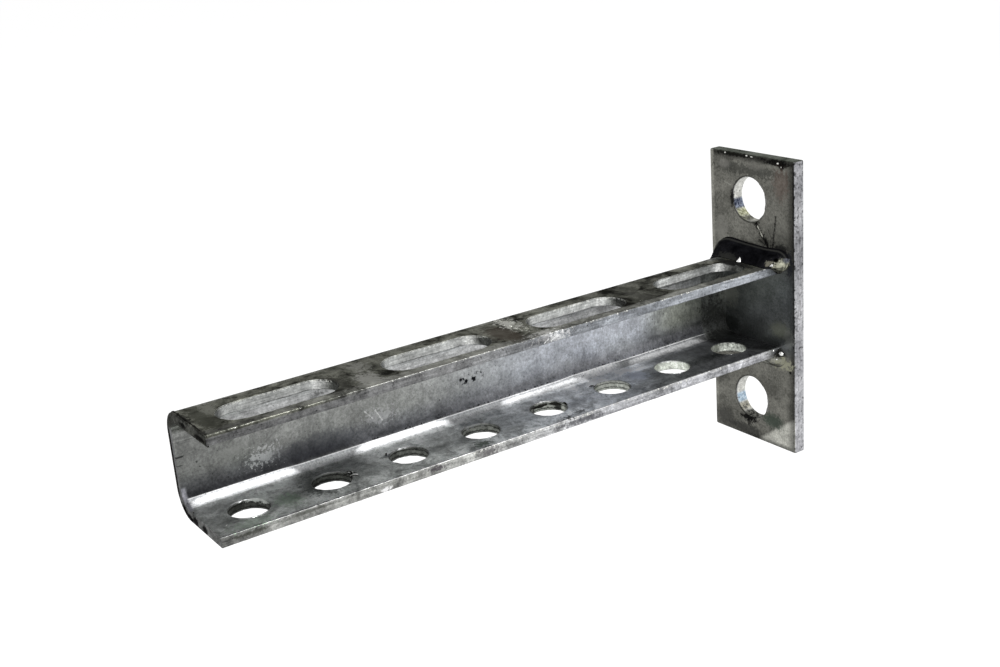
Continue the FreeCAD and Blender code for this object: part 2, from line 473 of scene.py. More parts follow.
# %% [markdown]
# ## Short words for materials
#
# Every metal here starts with its masks and ends in the same shader, and on the way colours are mixed,
# shaded and painted over. These few helpers say that in one line each.

# %% Start, shade, paint and finish a metal
def metal(name):
    """A material with its facing masks at hand."""
    material = bpy.data.materials.new(name)
    material.use_nodes = True
    material.node_tree.nodes.clear()
    return material, node(material.node_tree, "ShaderNodeGroup", node_tree=facing_group).outputs


def both(first, *others):
    """Product of masks: 1 only where all of them are 1."""
    for other in others:
        first = maths("MULTIPLY", first, other)
    return first


def band(value, low, high, blur):
    """1 where value is between low and high, and 0 outside, with soft edges."""
    return both(ramp(value, low - blur, low + blur), ramp(value, high + blur, high - blur))


def along(place, start, *steps):
    """A number that has the value start at the tip and changes on the way. A step is (from, to, change)."""
    for low, high, change in steps:
        start = maths("ADD", start, maths("MULTIPLY", ramp(place, low, high), float(change)))
    return start


def patch(masks, centre, half_size, ragged):
    """Mask of one oval patch."""
    return use_group(spot_group, Place=masks["Place"], Noise=masks["Noise"], Centre=centre, Half_Size=half_size,
                     Ragged=ragged)["Amount"]


def spotted(masks, colour, spots):
    """Paints oval patches over a colour. A spot is (centre, half size, colour, strength, raggedness)."""
    for centre, half_size, paint, strength, ragged in spots:
        amount = patch(masks, centre, half_size, ragged)
        colour = colour_mix(maths("MULTIPLY", amount, strength), colour, paint)
    return colour


def lined(masks, colour, lines):
    """Paints thin lines over a colour. A line is (start, end, width, colour, strength)."""
    for start, end, width, paint, strength in lines:
        amount = use_group(line_group, Place=masks["Place"], Noise=masks["Noise"], Start=start, End=end,
                           Width=width)["Amount"]
        colour = colour_mix(maths("MULTIPLY", amount, strength), colour, paint)
    return colour


def coated(masks, dark, pale, **others):
    """The zinc coat's outputs between two colours."""
    return use_group(zinc_group, Place=masks["Place"], Dark=dark, Pale=pale, **others)


def streaks(masks, stretch, strength):
    """Shade of drawn lines."""
    return use_group(streak_group, Place=masks["Place"], Stretch=stretch, Strength=strength)["Shade"]


def flecked(masks, size, limit):
    """Mask of scattered flecks."""
    return use_group(fleck_group, Place=masks["Place"], Size=size, Limit=limit)["Amount"]


RIM_TINT = (0.7, 0.7, 0.7, 1)
DIRT_AND_SHADE_GREY, METAL_SHARE = 0.16, 0.94  # from this grey up, a place is metallic by this share


def finish_metal(colour, roughness, height, depth):
    """Ends a material in a metal shader. depth is how deep the height goes, in millimetres. The darkest
    places are scale, dirt and painted shade, so they are made less metallic, and a surface seen at a low
    angle is kept from turning white by RIM_TINT."""
    tree = colour.id_data
    bump = node(tree, "ShaderNodeBump", {"Height": height, "Distance": depth * MM, "Strength": 1.0})
    grey = node(tree, "ShaderNodeRGBToBW", {0: colour}).outputs[0]
    metallic = node(tree, "ShaderNodeMapRange", {"Value": grey, "From Max": DIRT_AND_SHADE_GREY, "To Max": METAL_SHARE})
    shader = node(tree, "ShaderNodeBsdfPrincipled", {
        "Base Color": colour, "Roughness": roughness, "Normal": bump.outputs[0], "Metallic": metallic.outputs[0],
        "Specular IOR Level": 0.0, "Specular Tint": RIM_TINT})
    tree.links.new(shader.outputs[0], node(tree, "ShaderNodeOutputMaterial").inputs["Surface"])


print("material helpers ready")

# %% [markdown]
# ## The finish of the plate
#
# The bar's front face is a warm dark grey, its rolled side is pale and streaked along its length, and the
# walls of its drilled holes are bright, with bands of painted reflection, a blue one half-way down, and
# painted shade at the bottom. The face has painted shade towards its right edge and its top, painted light
# inside the channel, and a pale painted reflection in its lower right corner.

# %% Plate material
ROOT, TIP = -4.5, -204.5  # y at both ends of the arm
BOLT_X, BOLT_Z, BOLT_RADIUS = -1.0, 35.0, 7.5


def plate_marks():
    """Patches and lines on the plate's front face, in millimetres. A patch is written as x, z, half width,
    half height, colour, strength and raggedness, and a line as x and z of both ends, width, colour and
    strength."""
    black, painted_glint, straw = (0.006, 0.006, 0.006), (0.85, 0.85, 0.8), (0.5, 0.5, 0.44)
    spots = [
        # Along the top edge: a black band, partly pits and partly painted shade under the rounded edge, with
        # painted glints in it.
        (-8, 49.3, 11, 0.8, (0.012, 0.012, 0.01), 0.9, 0.9), (12, 48.8, 7, 1.2, black, 0.9, 0.8),
        (13.9, 47.9, 1.9, 1.5, black, 1.0, 0.6), (12.3, 48.7, 0.5, 0.3, painted_glint, 0.9, 0.7),
        (13.7, 47.6, 0.25, 0.3, painted_glint, 0.7, 0.5), (-11.8, 49.4, 0.4, 0.25, painted_glint, 0.8, 0.6),
        (-1.8, 49.5, 0.45, 0.22, painted_glint, 0.8, 0.6), (0.6, 49.4, 0.6, 0.2, painted_glint, 0.7, 0.8),
        (-1, 44.8, 18, 2.2, (0.05, 0.051, 0.046), 0.62, 0.9),
        (-12.5, 45.6, 3.2, 1.7, (0.2, 0.195, 0.18), 0.5, 0.6),
        (2, 46.2, 4.5, 1.3, (0.18, 0.176, 0.16), 0.4, 0.8), (13.5, 42, 4, 6, (0.14, 0.1, 0.085), 0.45, 0.7),
        # The first patch on the next line is painted shade in the lower corner inside the channel.
        (-11, -10, 6, 4, (0.01, 0.012, 0.01), 0.8, 0.3), (-10.5, 1, 4.5, 5.5, (0.5, 0.51, 0.47), 0.75, 0.5),
        (12.8, -7.4, 5.2, 3.4, (0.25, 0.26, 0.2), 0.5, 0.3),
        (16.6, -9.6, 2.6, 4.0, (0.3, 0.31, 0.29), 0.6, 0.4),
        (13.6, -19, 5.8, 2.2, (0.27, 0.27, 0.2), 0.85, 0.8), (17.2, -21.3, 0.6, 0.6, black, 0.9, 0.3),
        (9, -41, 6, 3, (0.04, 0.06, 0.045), 0.7, 0.6), (-4, -47.5, 9, 2.2, (0.03, 0.031, 0.03), 0.6, 0.6),
        (-14.5, -46, 5, 4, (0.06, 0.06, 0.056), 0.5, 0.6), (-2.6, -43.2, 4.6, 1.3, black, 0.95, 0.9),
        (-2.2, -44.6, 1.6, 1.4, black, 0.7, 1.0), (-8.9, 34.2, 1.0, 3.4, (0.01, 0.01, 0.01), 0.85, 0.6),
        (2.0, 27.6, 2.0, 1.0, (0.02, 0.021, 0.017), 0.6, 0.6),
        (6.5, 21.8, 4.5, 1.8, (0.03, 0.03, 0.026), 0.55, 0.8),
        (13, 20.5, 4.6, 2.0, (0.012, 0.012, 0.013), 0.85, 0.6),
        (17, 16, 1.8, 5, (0.02, 0.022, 0.03), 0.85, 0.6), (-14.5, 23.5, 4, 5, (0.2, 0.198, 0.18), 0.5, 0.5),
    ]
    lines = [
        (2.2, 27.3, 4.8, 23.9, 1.25, black, 1.0), (4.2, 24.3, 7.4, 20.8, 1.0, black, 1.0),
        (2.9, 26.6, 3.7, 25.4, 0.3, straw, 0.9), (3.9, 25.2, 5.1, 23.4, 0.34, straw, 0.9),
        (11.2, 31.0, 10.6, 26.5, 0.5, black, 0.8), (10.5, 26.4, 9.8, 21.6, 0.6, black, 0.9),
        (6.2, 23.4, 7.4, 20.4, 0.5, black, 0.8), (7.6, 26.4, 9.4, 23.2, 0.3, black, 0.6),
        (3.6, 22.2, 6.0, 20.9, 0.3, black, 0.7), (-12.5, 39.5, -9.4, 38.8, 0.3, (0.3, 0.3, 0.27), 0.6),
    ]
    spots = [((x, ROOT, z), (wide, 1, high), *rest) for x, z, wide, high, *rest in spots]
    lines = [((x, ROOT, z), (end_x, ROOT, end_z), *rest) for x, z, end_x, end_z, *rest in lines]
    return spots, lines


def bolt_hole_colour(masks, colour):
    """Walls of the bolt holes: pale and mottled, with bands of painted reflection, a blue one half-way down,
    and painted shade at the dark bottom, and a thin dark ring at the rim."""
    x, y, z = masks["X"], masks["Y"], masks["Z"]
    aside = maths("SUBTRACT", x, BOLT_X)
    aloft = maths("SUBTRACT", maths("ABSOLUTE", z), BOLT_Z)
    radius = maths("SQRT", maths("ADD", maths("MULTIPLY", aside, aside), maths("MULTIPLY", aloft, aloft)))
    inside = both(ramp(radius, 7.75, 7.6), band(y, -4.3, -0.2, 0.1))
    mottle = ramp(masks["Noise"], 0.4, 0.6)
    colour = colour_mix(inside, colour, colour_mix(mottle, (0.5, 0.5, 0.47), (0.74, 0.74, 0.7)))
    # Bands of painted reflection down each hole wall; the lowest one, dark, is painted shade.
    bands = [  # middle and half height, dark and pale colour
        (32.4, 1.7, (0.05, 0.06, 0.1), (0.33, 0.37, 0.46)), (29.6, 1.2, (0.2, 0.2, 0.12), (0.6, 0.61, 0.45)),
        (28.0, 0.6, (0.03, 0.03, 0.025), (0.26, 0.26, 0.2)), (-37.3, 1.6, (0.3, 0.4, 0.5), (0.6, 0.72, 0.82)),
        (-40.1, 1.1, (0.1, 0.1, 0.09), (0.5, 0.48, 0.4)), (-42.2, 0.9, (0.02, 0.02, 0.018), (0.16, 0.16, 0.14)),
    ]
    for middle, half, dark, pale in bands:
        here = both(inside, band(z, middle - half, middle + half, 0.6))
        colour = colour_mix(here, colour, colour_mix(mottle, dark, pale))
    ring = both(band(radius, BOLT_RADIUS, BOLT_RADIUS + 0.5, 0.12), ramp(y, -4.0, -4.3), ramp(aside, 2.0, -1.0))
    return colour_mix(maths("MULTIPLY", ring, 0.55), colour, (0.02, 0.02, 0.018))


def plate_zones(masks):
    """Places with colours of their own or of painted light, one by one: mask, dark colour and pale colour."""
    x, z, front = masks["X"], masks["Z"], masks["Front"]
    yield masks["Open Side"], (0.25, 0.252, 0.268), (0.52, 0.52, 0.538)
    yield masks["Up"], (0.02, 0.024, 0.018), (0.1, 0.11, 0.09)
    # Painted reflection: a pale corner at the lower right of the front face.
    slant = maths("SUBTRACT", maths("MULTIPLY", maths("SUBTRACT", x, 1.2), 0.7), maths("ADD", z, 50.5))
    yield both(front, ramp(slant, -1.3, 0.7)), (0.32, 0.32, 0.29), (0.55, 0.55, 0.5)
    # Painted light on the front face inside the channel, which the arm shades.
    yield both(front, band(z, -15.0, 13.0, 3.0)), (0.115, 0.122, 0.122), (0.24, 0.254, 0.255)


def plate_gains(masks):
    """Places that are brighter or darker, one by one: mask and factor."""
    x, z, front, side = masks["X"], masks["Z"], masks["Front"], masks["Open Side"]
    # Painted dark reflection towards the right edge of the front face.
    yield both(front, ramp(x, 14.8, 19.2)), 0.38
    # Painted light on the plate inside the channel, which the arm shades.
    yield both(front, band(z, -4.0, 12.0, 3.0), ramp(x, 16.0, -6.0)), 1.28
    # Painted dark reflection in the rounded right edge.
    yield both(front, ramp(x, 18.4, 18.9), ramp(z, -16.0, -4.0)), 0.15
    yield both(front, ramp(z, 12.0, 24.0), ramp(x, -5.0, -11.0)), 0.88
    # Painted shade under the rounded top edge.
    yield both(front, ramp(z, 46.8, 49.4)), 0.3
    yield both(front, ramp(z, -47.6, -49.4)), 0.35
    yield both(front, ramp(x, -16.9, -18.2)), 1.5
    yield both(front, ramp(z, -36.0, -44.0), ramp(x, 2.0, -8.0)), 0.72
    yield both(front, band(z, -14.0, -6.0, 2.5), ramp(x, 13.5, 10.0)), 0.66
    yield both(side, ramp(z, -10.0, 8.0), ramp(z, 36.0, 26.0)), 0.86
    yield both(side, ramp(z, -25.0, -38.0)), 1.14


def plate_metal():
    """Zinc on the wall plate."""
    material, masks = metal("plate_zinc")
    x, z, front = masks["X"], masks["Z"], masks["Front"]
    dark = colour_mix(front, (0.17, 0.172, 0.168), (0.1, 0.099, 0.088))
    pale = colour_mix(front, (0.36, 0.365, 0.36), (0.188, 0.186, 0.165))
    for mask, darker, paler in plate_zones(masks):
        dark = colour_mix(mask, dark, darker)
        pale = colour_mix(mask, pale, paler)
    gain = 1.0
    for mask, change in plate_gains(masks):
        gain = number_mix(mask, gain, change)
    coat = coated(masks, dark, pale, Gain=gain, Cloud_Size=13.0, Grain=0.3, Pits=0.6)
    rolled = streaks(masks, (1.5, 1.3, 0.12), 0.22)
    colour = shaded(coat["Colour"], number_mix(masks["Open Side"], 1.0, rolled))
    colour = bolt_hole_colour(masks, colour)
    spots, lines = plate_marks()
    colour = lined(masks, spotted(masks, colour, spots), lines)
    flecks = flecked(masks, 0.9, 0.53)
    at_edge = both(band(x, 18.5, 19.23, 0.12), number_mix(ramp(z, -24.0, -4.0), 0.55, 1.0))
    on_side = both(masks["Open Side"], ramp(masks["Noise"], 0.5, 0.6), 0.8)
    flecks = both(flecks, maths("MAXIMUM", at_edge, on_side))
    colour = colour_mix(flecks, colour, (0.015, 0.015, 0.016))
    finish_metal(colour, coat["Roughness"], coat["Height"], 0.1)
    return material


plate_zinc = plate_metal()
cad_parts["wall_plate"].material_slots[0].material = plate_zinc
print("plate finish:", len(plate_zinc.node_tree.nodes), "nodes")

# %% [markdown]
# ## The finish of the arm
#
# Seen from the open side, the arm goes from a dark, greenish top to a grey web, a fold with a painted
# highlight and a glossy lower flange, with pale, speckled cut edges. Each of these zones has its own
# colour, spread and change along the arm, and the change is painted light: dimmer at the tip, brighter
# towards the plate, and painted shade beside the weld. The zones are laid over each other from the most
# general to the most particular.

# %% Zones of the arm
def fold_level(masks):
    """How level the surface lies, less a little where the painted highlight on the fold starts lower down."""
    lower = along(masks["Y"], 0.0, (-177, -168, 0.05), (-79, -72, -0.045), (-58, -52, 0.035))
    return maths("SUBTRACT", masks["Level"], lower)


def web_side(x):
    """1 on the web and on the two bends beside it."""
    return ramp(x, -8.4, -8.7)


def arm_zones(masks):
    """Zones one by one: mask, colour, share by which it varies, and gain along the arm, which paints light and
    shade along it. The nodes of a zone are made when it is asked for, because a material can keep only so
    many numbers waiting at a time."""
    x, y, z, level = masks["X"], masks["Y"], masks["Z"], masks["Level"]
    side, wall, noise = masks["Open Side"], masks["Wall"], masks["Noise"]
    # The gains along the arm, here and in the zones below, are painted light: dimmer at the tip and brighter
    # towards the plate, with painted shade near the weld.
    top = both(ramp(level, 0.3, 0.7), ramp(z, 9.5, 10.5))
    yield top, (0.08, 0.081, 0.066), 0.85, along(
        y, 0.92, (-175, -150, -0.2), (-135, -115, 0.32), (-90, -72, -0.47), (-45, -22, 0.48))
    yield both(top, ramp(x, 8.4, 9.4)), (0.12, 0.121, 0.107), 0.6, along(
        y, 0.48, (-192, -176, 0.62), (-176, -166, 0.16), (-158, -146, -0.14), (-135, -95, -0.3),
        (-85, -60, 0.3), (-30, -12, 0.4))

    blue = ramp(y, -140, -70)
    web = both(side, web_side(x))
    web_colour = colour_mix(blue, (0.25, 0.255, 0.246), (0.24, 0.25, 0.272))
    web_colour = colour_mix(ramp(y, -46, -26), web_colour, (0.25, 0.261, 0.232))
    yield web, web_colour, 0.2, along(
        y, 0.8, (-200, -165, 0.24), (-145, -115, 0.38), (-112, -88, 0.32), (-88, -50, 0.7),
        (-50, -28, -0.76), (-21, -14.5, -0.6))
    # Painted light on the top of the web, seen through the slots.
    yield both(web, ramp(z, 3.6, 5.2), ramp(y, -199, -196)), (0.38, 0.385, 0.385), 0.25, along(
        y, 1.0, (-165, -150, 0.1), (-85, -72, -0.4), (-58, -48, 0.3))
    # Painted shade: a dark reflection low on the web, where it turns into the fold.
    web_foot = both(web_side(x), ramp(z, -4.0, -10.5), ramp(level, 0.75, 0.4),
                    ramp(level, -0.3, -0.1))
    foot_gain = along(y, 0.25, (-162, -145, 0.2), (-130, -95, 0.35), (-70, -50, 0.3), (-48, -32, -0.45),
                      (-30, -16, -0.14))
    yield web_foot, (0.31, 0.316, 0.334), 0.25, foot_gain
    yield both(web_foot, ramp(level, 0.05, 0.4)), (0.22, 0.226, 0.243), 0.25, foot_gain

    low = ramp(z, -8.0, -9.0)
    flange = both(ramp(level, 0.92, 0.99), low)
    flange_colour = colour_mix(blue, (0.59, 0.61, 0.6), (0.575, 0.595, 0.62))
    yield flange, flange_colour, 0.4, along(
        y, 0.76, (-185, -150, 0.24), (-120, -105, -0.06), (-92, -78, 0.3), (-66, -48, -0.74),
        (-40, -18, -0.26))
    yield both(flange, ramp(x, -3.0, -5.5)), flange_colour, 0.35, along(
        y, 0.8, (-185, -165, 0.1), (-155, -140, 0.5), (-112, -95, -0.4), (-85, -68, 0.8),
        (-52, -38, -1.36), (-36, -18, -0.2))
    yield both(flange, ramp(x, 4.5, 8.5)), flange_colour, 0.6, along(
        y, 0.84, (-195, -165, 0.17), (-150, -120, 0.2), (-84, -66, -0.68), (-60, -38, -0.2),
        (-34, -20, -0.26))

    inner_bend = both(low, web_side(x))
    fold = both(inner_bend, ramp(level, 0.995, 0.96), ramp(y, -13.5, -16.5))
    folded = fold_level(masks)
    fold_gain = along(y, 1.0, (-135, -105, -0.1), (-105, -85, -0.25), (-58, -50, -0.2))
    # Painted highlight along the fold, with a crisp bright line at its top edge.
    yield both(fold, ramp(folded, 0.55, 0.58)), (0.86, 0.87, 0.88), 0.04, fold_gain
    yield both(fold, band(folded, 0.61, 0.7, 0.02)), (0.66, 0.67, 0.69), 0.04, fold_gain
    yield both(fold, band(y, -70.0, -55.0, 3.0), ramp(folded, 0.57, 0.6)), (
        0.96, 0.97, 0.99), 0.03, 1.0
    yield both(fold, band(folded, 0.56, 0.61, 0.008)), (0.97, 0.97, 0.98), 0.02, 1.05
    # Painted shade that dims the fold's highlight at the tip.
    yield both(inner_bend, ramp(y, -202.8, -203.7)), (0.34, 0.34, 0.375), 0.2, 1.0
    # Painted shade on the upper inner bend at the tip.
    yield both(web_side(x), ramp(z, 7.0, 8.5), ramp(level, 0.1, -0.2),
               ramp(y, -195, -199)), (0.1, 0.103, 0.095), 0.4, 1.0

    # Painted shade on the lower lip's top edge, strongest at the tip.
    yield both(ramp(x, 11.5, 11.8), band(z, -14.0, -13.0, 0.1)), (0.42, 0.425, 0.43), 0.5, along(
        y, 0.32, (-175, -135, 0.75))
    lip = both(side, ramp(x, 11.2, 11.6))
    yield both(lip, ramp(z, 0, 1)), colour_mix(
        blue, (0.4, 0.403, 0.405), (0.385, 0.408, 0.44)), 0.3, along(
        y, 0.3, (-190, -150, 0.08), (-182, -160, 0.05), (-160, -60, 0.31), (-60, -10, 0.33))
    # Painted shade on the rounded top edge of the upper lip near the tip.
    yield both(ramp(x, 11.4, 11.7), ramp(z, 14.0, 14.3), ramp(y, -145, -175)), (
        0.115, 0.117, 0.1), 0.8, 1.0
    yield both(lip, ramp(z, 0, -1)), colour_mix(
        blue, (0.44, 0.445, 0.425), (0.44, 0.445, 0.465)), 0.5, along(
        y, 0.41, (-204, -184, 0.24), (-145, -110, 0.34), (-90, -75, -0.24), (-58, -45, 0.28),
        (-32, -16, 0.36))

    slot_wall = both(wall, ramp(z, 11.6, 11.8), band(x, -5.2, 8.8, 0.1))
    slot_gain = along(y, 0.75, (-190, -140, 0.12), (-140, -90, 0.12), (-90, -40, 0.22))
    yield slot_wall, (0.45, 0.46, 0.45), 0.3, slot_gain
    yield both(slot_wall, band(z, 11.9, 12.25, 0.1), 0.7), (0.08, 0.08, 0.08), 0.5, slot_gain
    # Painted highlight where the slot's wall curves round its end nearest the plate.
    yield both(slot_wall, band(masks["Ahead"], 0.35, 0.66, 0.2), 0.85), (0.8, 0.81, 0.79), 0.25, slot_gain
    # Painted shade on that end wall.
    yield both(slot_wall, ramp(masks["Ahead"], 0.55, 0.97), 0.85), (0.085, 0.088, 0.078), 0.8, slot_gain
    # Painted highlight, broken by noise, along the top of the slot walls.
    yield both(slot_wall, ramp(z, 14.2, 14.6), ramp(noise, 0.48, 0.56), 0.8), (
        0.8, 0.81, 0.76), 0.2, 1.0

    hole_wall = both(wall, ramp(z, -13.3, -13.5), band(x, -5.3, 6.8, 0.1))
    hole_gain = along(y, 0.15, (-160, -60, 0.55), (-70, -30, 1.1))
    yield hole_wall, (0.4, 0.42, 0.38), 0.5, hole_gain
    # Painted dark reflections in two arcs on the hole walls, left out near the plate.
    depth = maths("ADD", z, maths("MULTIPLY", maths("SUBTRACT", noise, 0.5), 1.5))
    arcs = maths("MAXIMUM", band(depth, -14.5, -14.1, 0.12), band(depth, -15.9, -15.5, 0.12))
    yield both(hole_wall, both(arcs, ramp(y, -50, -60)), 0.75), (
        0.04, 0.04, 0.04), 0.3, hole_gain

    # Painted shade on the web and inner fold beside the weld.
    weld_shade = both(ramp(x, -14.3, -13.8), ramp(x, -7.0, -8.5))
    yield both(weld_shade, ramp(y, -16.2, -14.8), 0.9), (0.14, 0.146, 0.137), 0.85, 1.0

    end = both(masks["Front"], ramp(y, -203.9, -204.3))
    yield end, (0.048, 0.049, 0.042), 0.7, 1.0
    yield both(end, ramp(z, -7.0, -9.0)), (0.13, 0.132, 0.128), 0.4, 1.0
    yield both(end, band(z, -13.0, 9.0, 1.0), ramp(x, -9.0, -10.0)), (0.13, 0.132, 0.135), 0.25, 1.0
    yield both(end, band(z, -11.0, 9.0, 1.0), ramp(x, -14.5, -14.9)), (
        0.016, 0.016, 0.015), 0.4, 1.0


print("arm zones ready")


# %% Marks on the arm
def arm_marks():
    """Patches and lines on the arm: torn black places at the tip, rubbed and pitted ones along it, painted
    shade beside the weld and between the first two bright dashes of the fold, and a painted glint."""
    black, white, grey = (0.005, 0.005, 0.005), (0.9, 0.9, 0.9), (0.55, 0.56, 0.57)
    web, ledge, top, lip = -13.25, -13.5, 15.0, 12.25
    spots = [
        ((-3.6, TIP, 13.2), (2.7, 1, 0.9), black, 0.95, 0.6),
        ((8.2, TIP, 13.0), (4.0, 1, 0.8), black, 0.9, 0.6),
        ((-13.0, TIP, -14.8), (3.0, 1.3, 2.4), black, 1.0, 0.4),
        ((-9.2, TIP, -16.0), (3.8, 1.3, 1.5), black, 1.0, 0.4),
        ((-5.4, TIP, -15.1), (2.5, 1.3, 1.6), black, 0.95, 0.5),
        ((0.9, TIP, -15.4), (2.4, 1.3, 1.3), black, 0.95, 0.5),
        ((-1.5, TIP, -16.5), (7, 1.0, 0.45), black, 0.8, 0.6),
        ((8.0, TIP, -16.5), (5, 1.0, 0.35), black, 0.7, 0.6),
        ((0, -200.5, top), (12, 3.6, 1), (0.03, 0.031, 0.024), 0.85, 0.7),
        ((-3, -204.2, top), (5, 1.5, 1), black, 0.7, 0.8), ((8, -204.2, top), (4, 1.3, 1), black, 0.7, 0.8),
        ((-6, -196.5, top), (5, 2.4, 1), (0.14, 0.142, 0.12), 0.6, 1.2),
        ((-11.5, -192, 14), (3, 8, 3), (0.17, 0.172, 0.15), 0.6, 0.9),
        ((3.5, -162.5, top), (8, 4.5, 1), (0.02, 0.02, 0.017), 0.8, 0.8),
        ((6.1, -154.3, top), (6, 3.6, 1), (0.23, 0.23, 0.21), 0.75, 0.8),
        ((-4, -152, top), (4.5, 3.0, 1), (0.2, 0.2, 0.18), 0.5, 1.0),
        ((3, -107, top), (10, 5, 1), (0.038, 0.032, 0.025), 0.85, 0.4),
        ((-5.5, -101, top), (7.5, 2.6, 1), (0.5, 0.5, 0.46), 0.65, 1.7),
        ((10.4, -98, top), (1.8, 6, 1.2), (0.55, 0.55, 0.52), 0.4, 1.5),
        ((lip, -96.5, 13.6), (1, 5, 1.4), white, 0.55, 1.8),
        ((lip, -99.5, 13.2), (1, 3, 1.3), black, 0.5, 1.4),
        ((3, -56, top), (9, 3, 1), (0.035, 0.035, 0.03), 0.7, 0.6),
        # Painted shade on the top beside the weld.
        ((0, -12.5, top), (14, 2.8, 1), (0.01, 0.01, 0.01), 0.95, 0.35),
        ((web, -180, -6.4), (1, 4.2, 2.2), (0.8, 0.81, 0.82), 0.45, 2.0),
        ((web, -189, -2.5), (1, 6, 3), (0.33, 0.335, 0.32), 0.35, 1.0),
        # Painted shade low on the web between the first two bright dashes.
        ((web, -162, -8), (1, 17, 4.5), (0.05, 0.052, 0.064), 0.5, 0.35),
        ((web, -142, -5.4), (1, 5, 2.2), (0.6, 0.6, 0.62), 0.35, 1.6),
        ((web, -199, -2.1), (1, 0.45, 0.4), black, 0.7, 0.3),
        ((web, -161.5, 6.5), (1, 1.8, 1.4), black, 0.5, 1.4),
        ((web, -204, 0.6), (1, 1.9, 0.34), black, 0.75, 0.6),
        ((web, -204, -1.9), (1, 1.5, 0.25), black, 0.6, 0.4),
        # Painted shade beside the weld, on the web and on the lower flange: this patch and the next two.
        ((web, -11, -5), (1, 5, 5), (0.004, 0.005, 0.004), 0.7, 1.1),
        ((-8, -9, ledge), (9, 8, 3), (0.02, 0.022, 0.02), 0.8, 0.5),
        ((4, -9, ledge), (9, 7, 1), (0.04, 0.042, 0.04), 0.3, 0.5),
        # A painted glint on the lower lip.
        ((lip, -155.6, -15.7), (1, 2.0, 0.8), white, 0.9, 0.5),
        ((lip, -196, -14.8), (1, 7, 0.6), (0.05, 0.052, 0.042), 0.7, 0.8),
        ((lip, -180, -14.4), (1, 10, 0.5), (0.07, 0.072, 0.06), 0.6, 0.8),
        ((-1.5, -54.5, ledge), (5, 4.5, 1), (0.62, 0.66, 0.75), 0.6, 0.5),
        ((5.8, -60, ledge), (2.6, 5, 1), (0.12, 0.125, 0.12), 0.5, 0.8),
        ((-3, -187, ledge), (5, 3.5, 1), (0.85, 0.9, 0.85), 0.4, 1.2),
        ((3.5, -181, ledge), (5, 4, 1), (0.3, 0.42, 0.3), 0.5, 1.0),
        ((9.5, -194, ledge), (3, 7, 1), (0.3, 0.42, 0.3), 0.4, 1.0),
        # Painted shade on the lower flange between the first two bright dashes.
        ((0, -171, ledge), (9, 5.5, 1), (0.12, 0.13, 0.125), 0.8, 0.7),
        ((-6.5, -180, ledge), (2, 6, 1), (0.8, 0.85, 0.82), 0.5, 1.0),
        ((-2.8, -146.5, ledge), (1.2, 2.5, 1), (0.1, 0.11, 0.11), 0.7, 0.9),
        ((9.2, -121.7, ledge), (2.4, 2.8, 1), (0.08, 0.1, 0.08), 0.85, 1.2),
        ((-6, -116, ledge), (2.4, 7, 1), (0.25, 0.26, 0.27), 0.5, 1.0),
        ((11.0, -91.8, ledge), (1.5, 2.2, 1), black, 0.9, 1.3),
        ((9.4, -86, ledge), (1.6, 2.0, 1), (0.1, 0.1, 0.1), 0.8, 1.3),
        ((lip, -139, -14.6), (1, 3, 0.9), (0.06, 0.05, 0.06), 0.8, 1.0),
        ((lip, -121, -14.8), (1, 4, 1.4), (0.1, 0.09, 0.1), 0.6, 1.0),
        ((lip, -88, -15.2), (1, 9, 0.8), (0.06, 0.06, 0.07), 0.7, 1.3),
        ((-3.4, -92.2, -15), (1.6, 3.2, 1.6), black, 0.85, 0.7),
        ((-1.8, -86.4, -15), (2.4, 1.6, 1.6), black, 0.85, 0.7),
    ]
    lines = [
        ((web, -178, -2), (web, -170, 3), 0.3, (0.1, 0.1, 0.1), 0.4),
        ((web, -130, 3.4), (web, -124, -1), 0.2, grey, 0.5),
        ((web, -143.5, -3.2), (web, -141.5, -6.8), 0.25, white, 0.6),
        ((web, -147, -2.5), (web, -144.5, -5.5), 0.25, white, 0.5),
        ((-9, -120, top), (-7.5, -96, top), 0.4, black, 0.6),
        ((lip, -99.5, 12.5), (lip, -96.2, 14.6), 0.3, white, 0.9),
        ((lip, -97.0, 12.6), (lip, -94.2, 14.2), 0.3, white, 0.8),
        ((lip, -94.6, 13.4), (lip, -92.6, 14.8), 0.25, white, 0.8),
        ((-8, -185, ledge), (-4, -178, ledge), 0.35, white, 0.5),
        ((5.4, -196, ledge), (9.4, -186, ledge), 0.3, white, 0.45),
    ]
    return spots, lines


print("arm marks:", [len(marks) for marks in arm_marks()], "patches and lines")


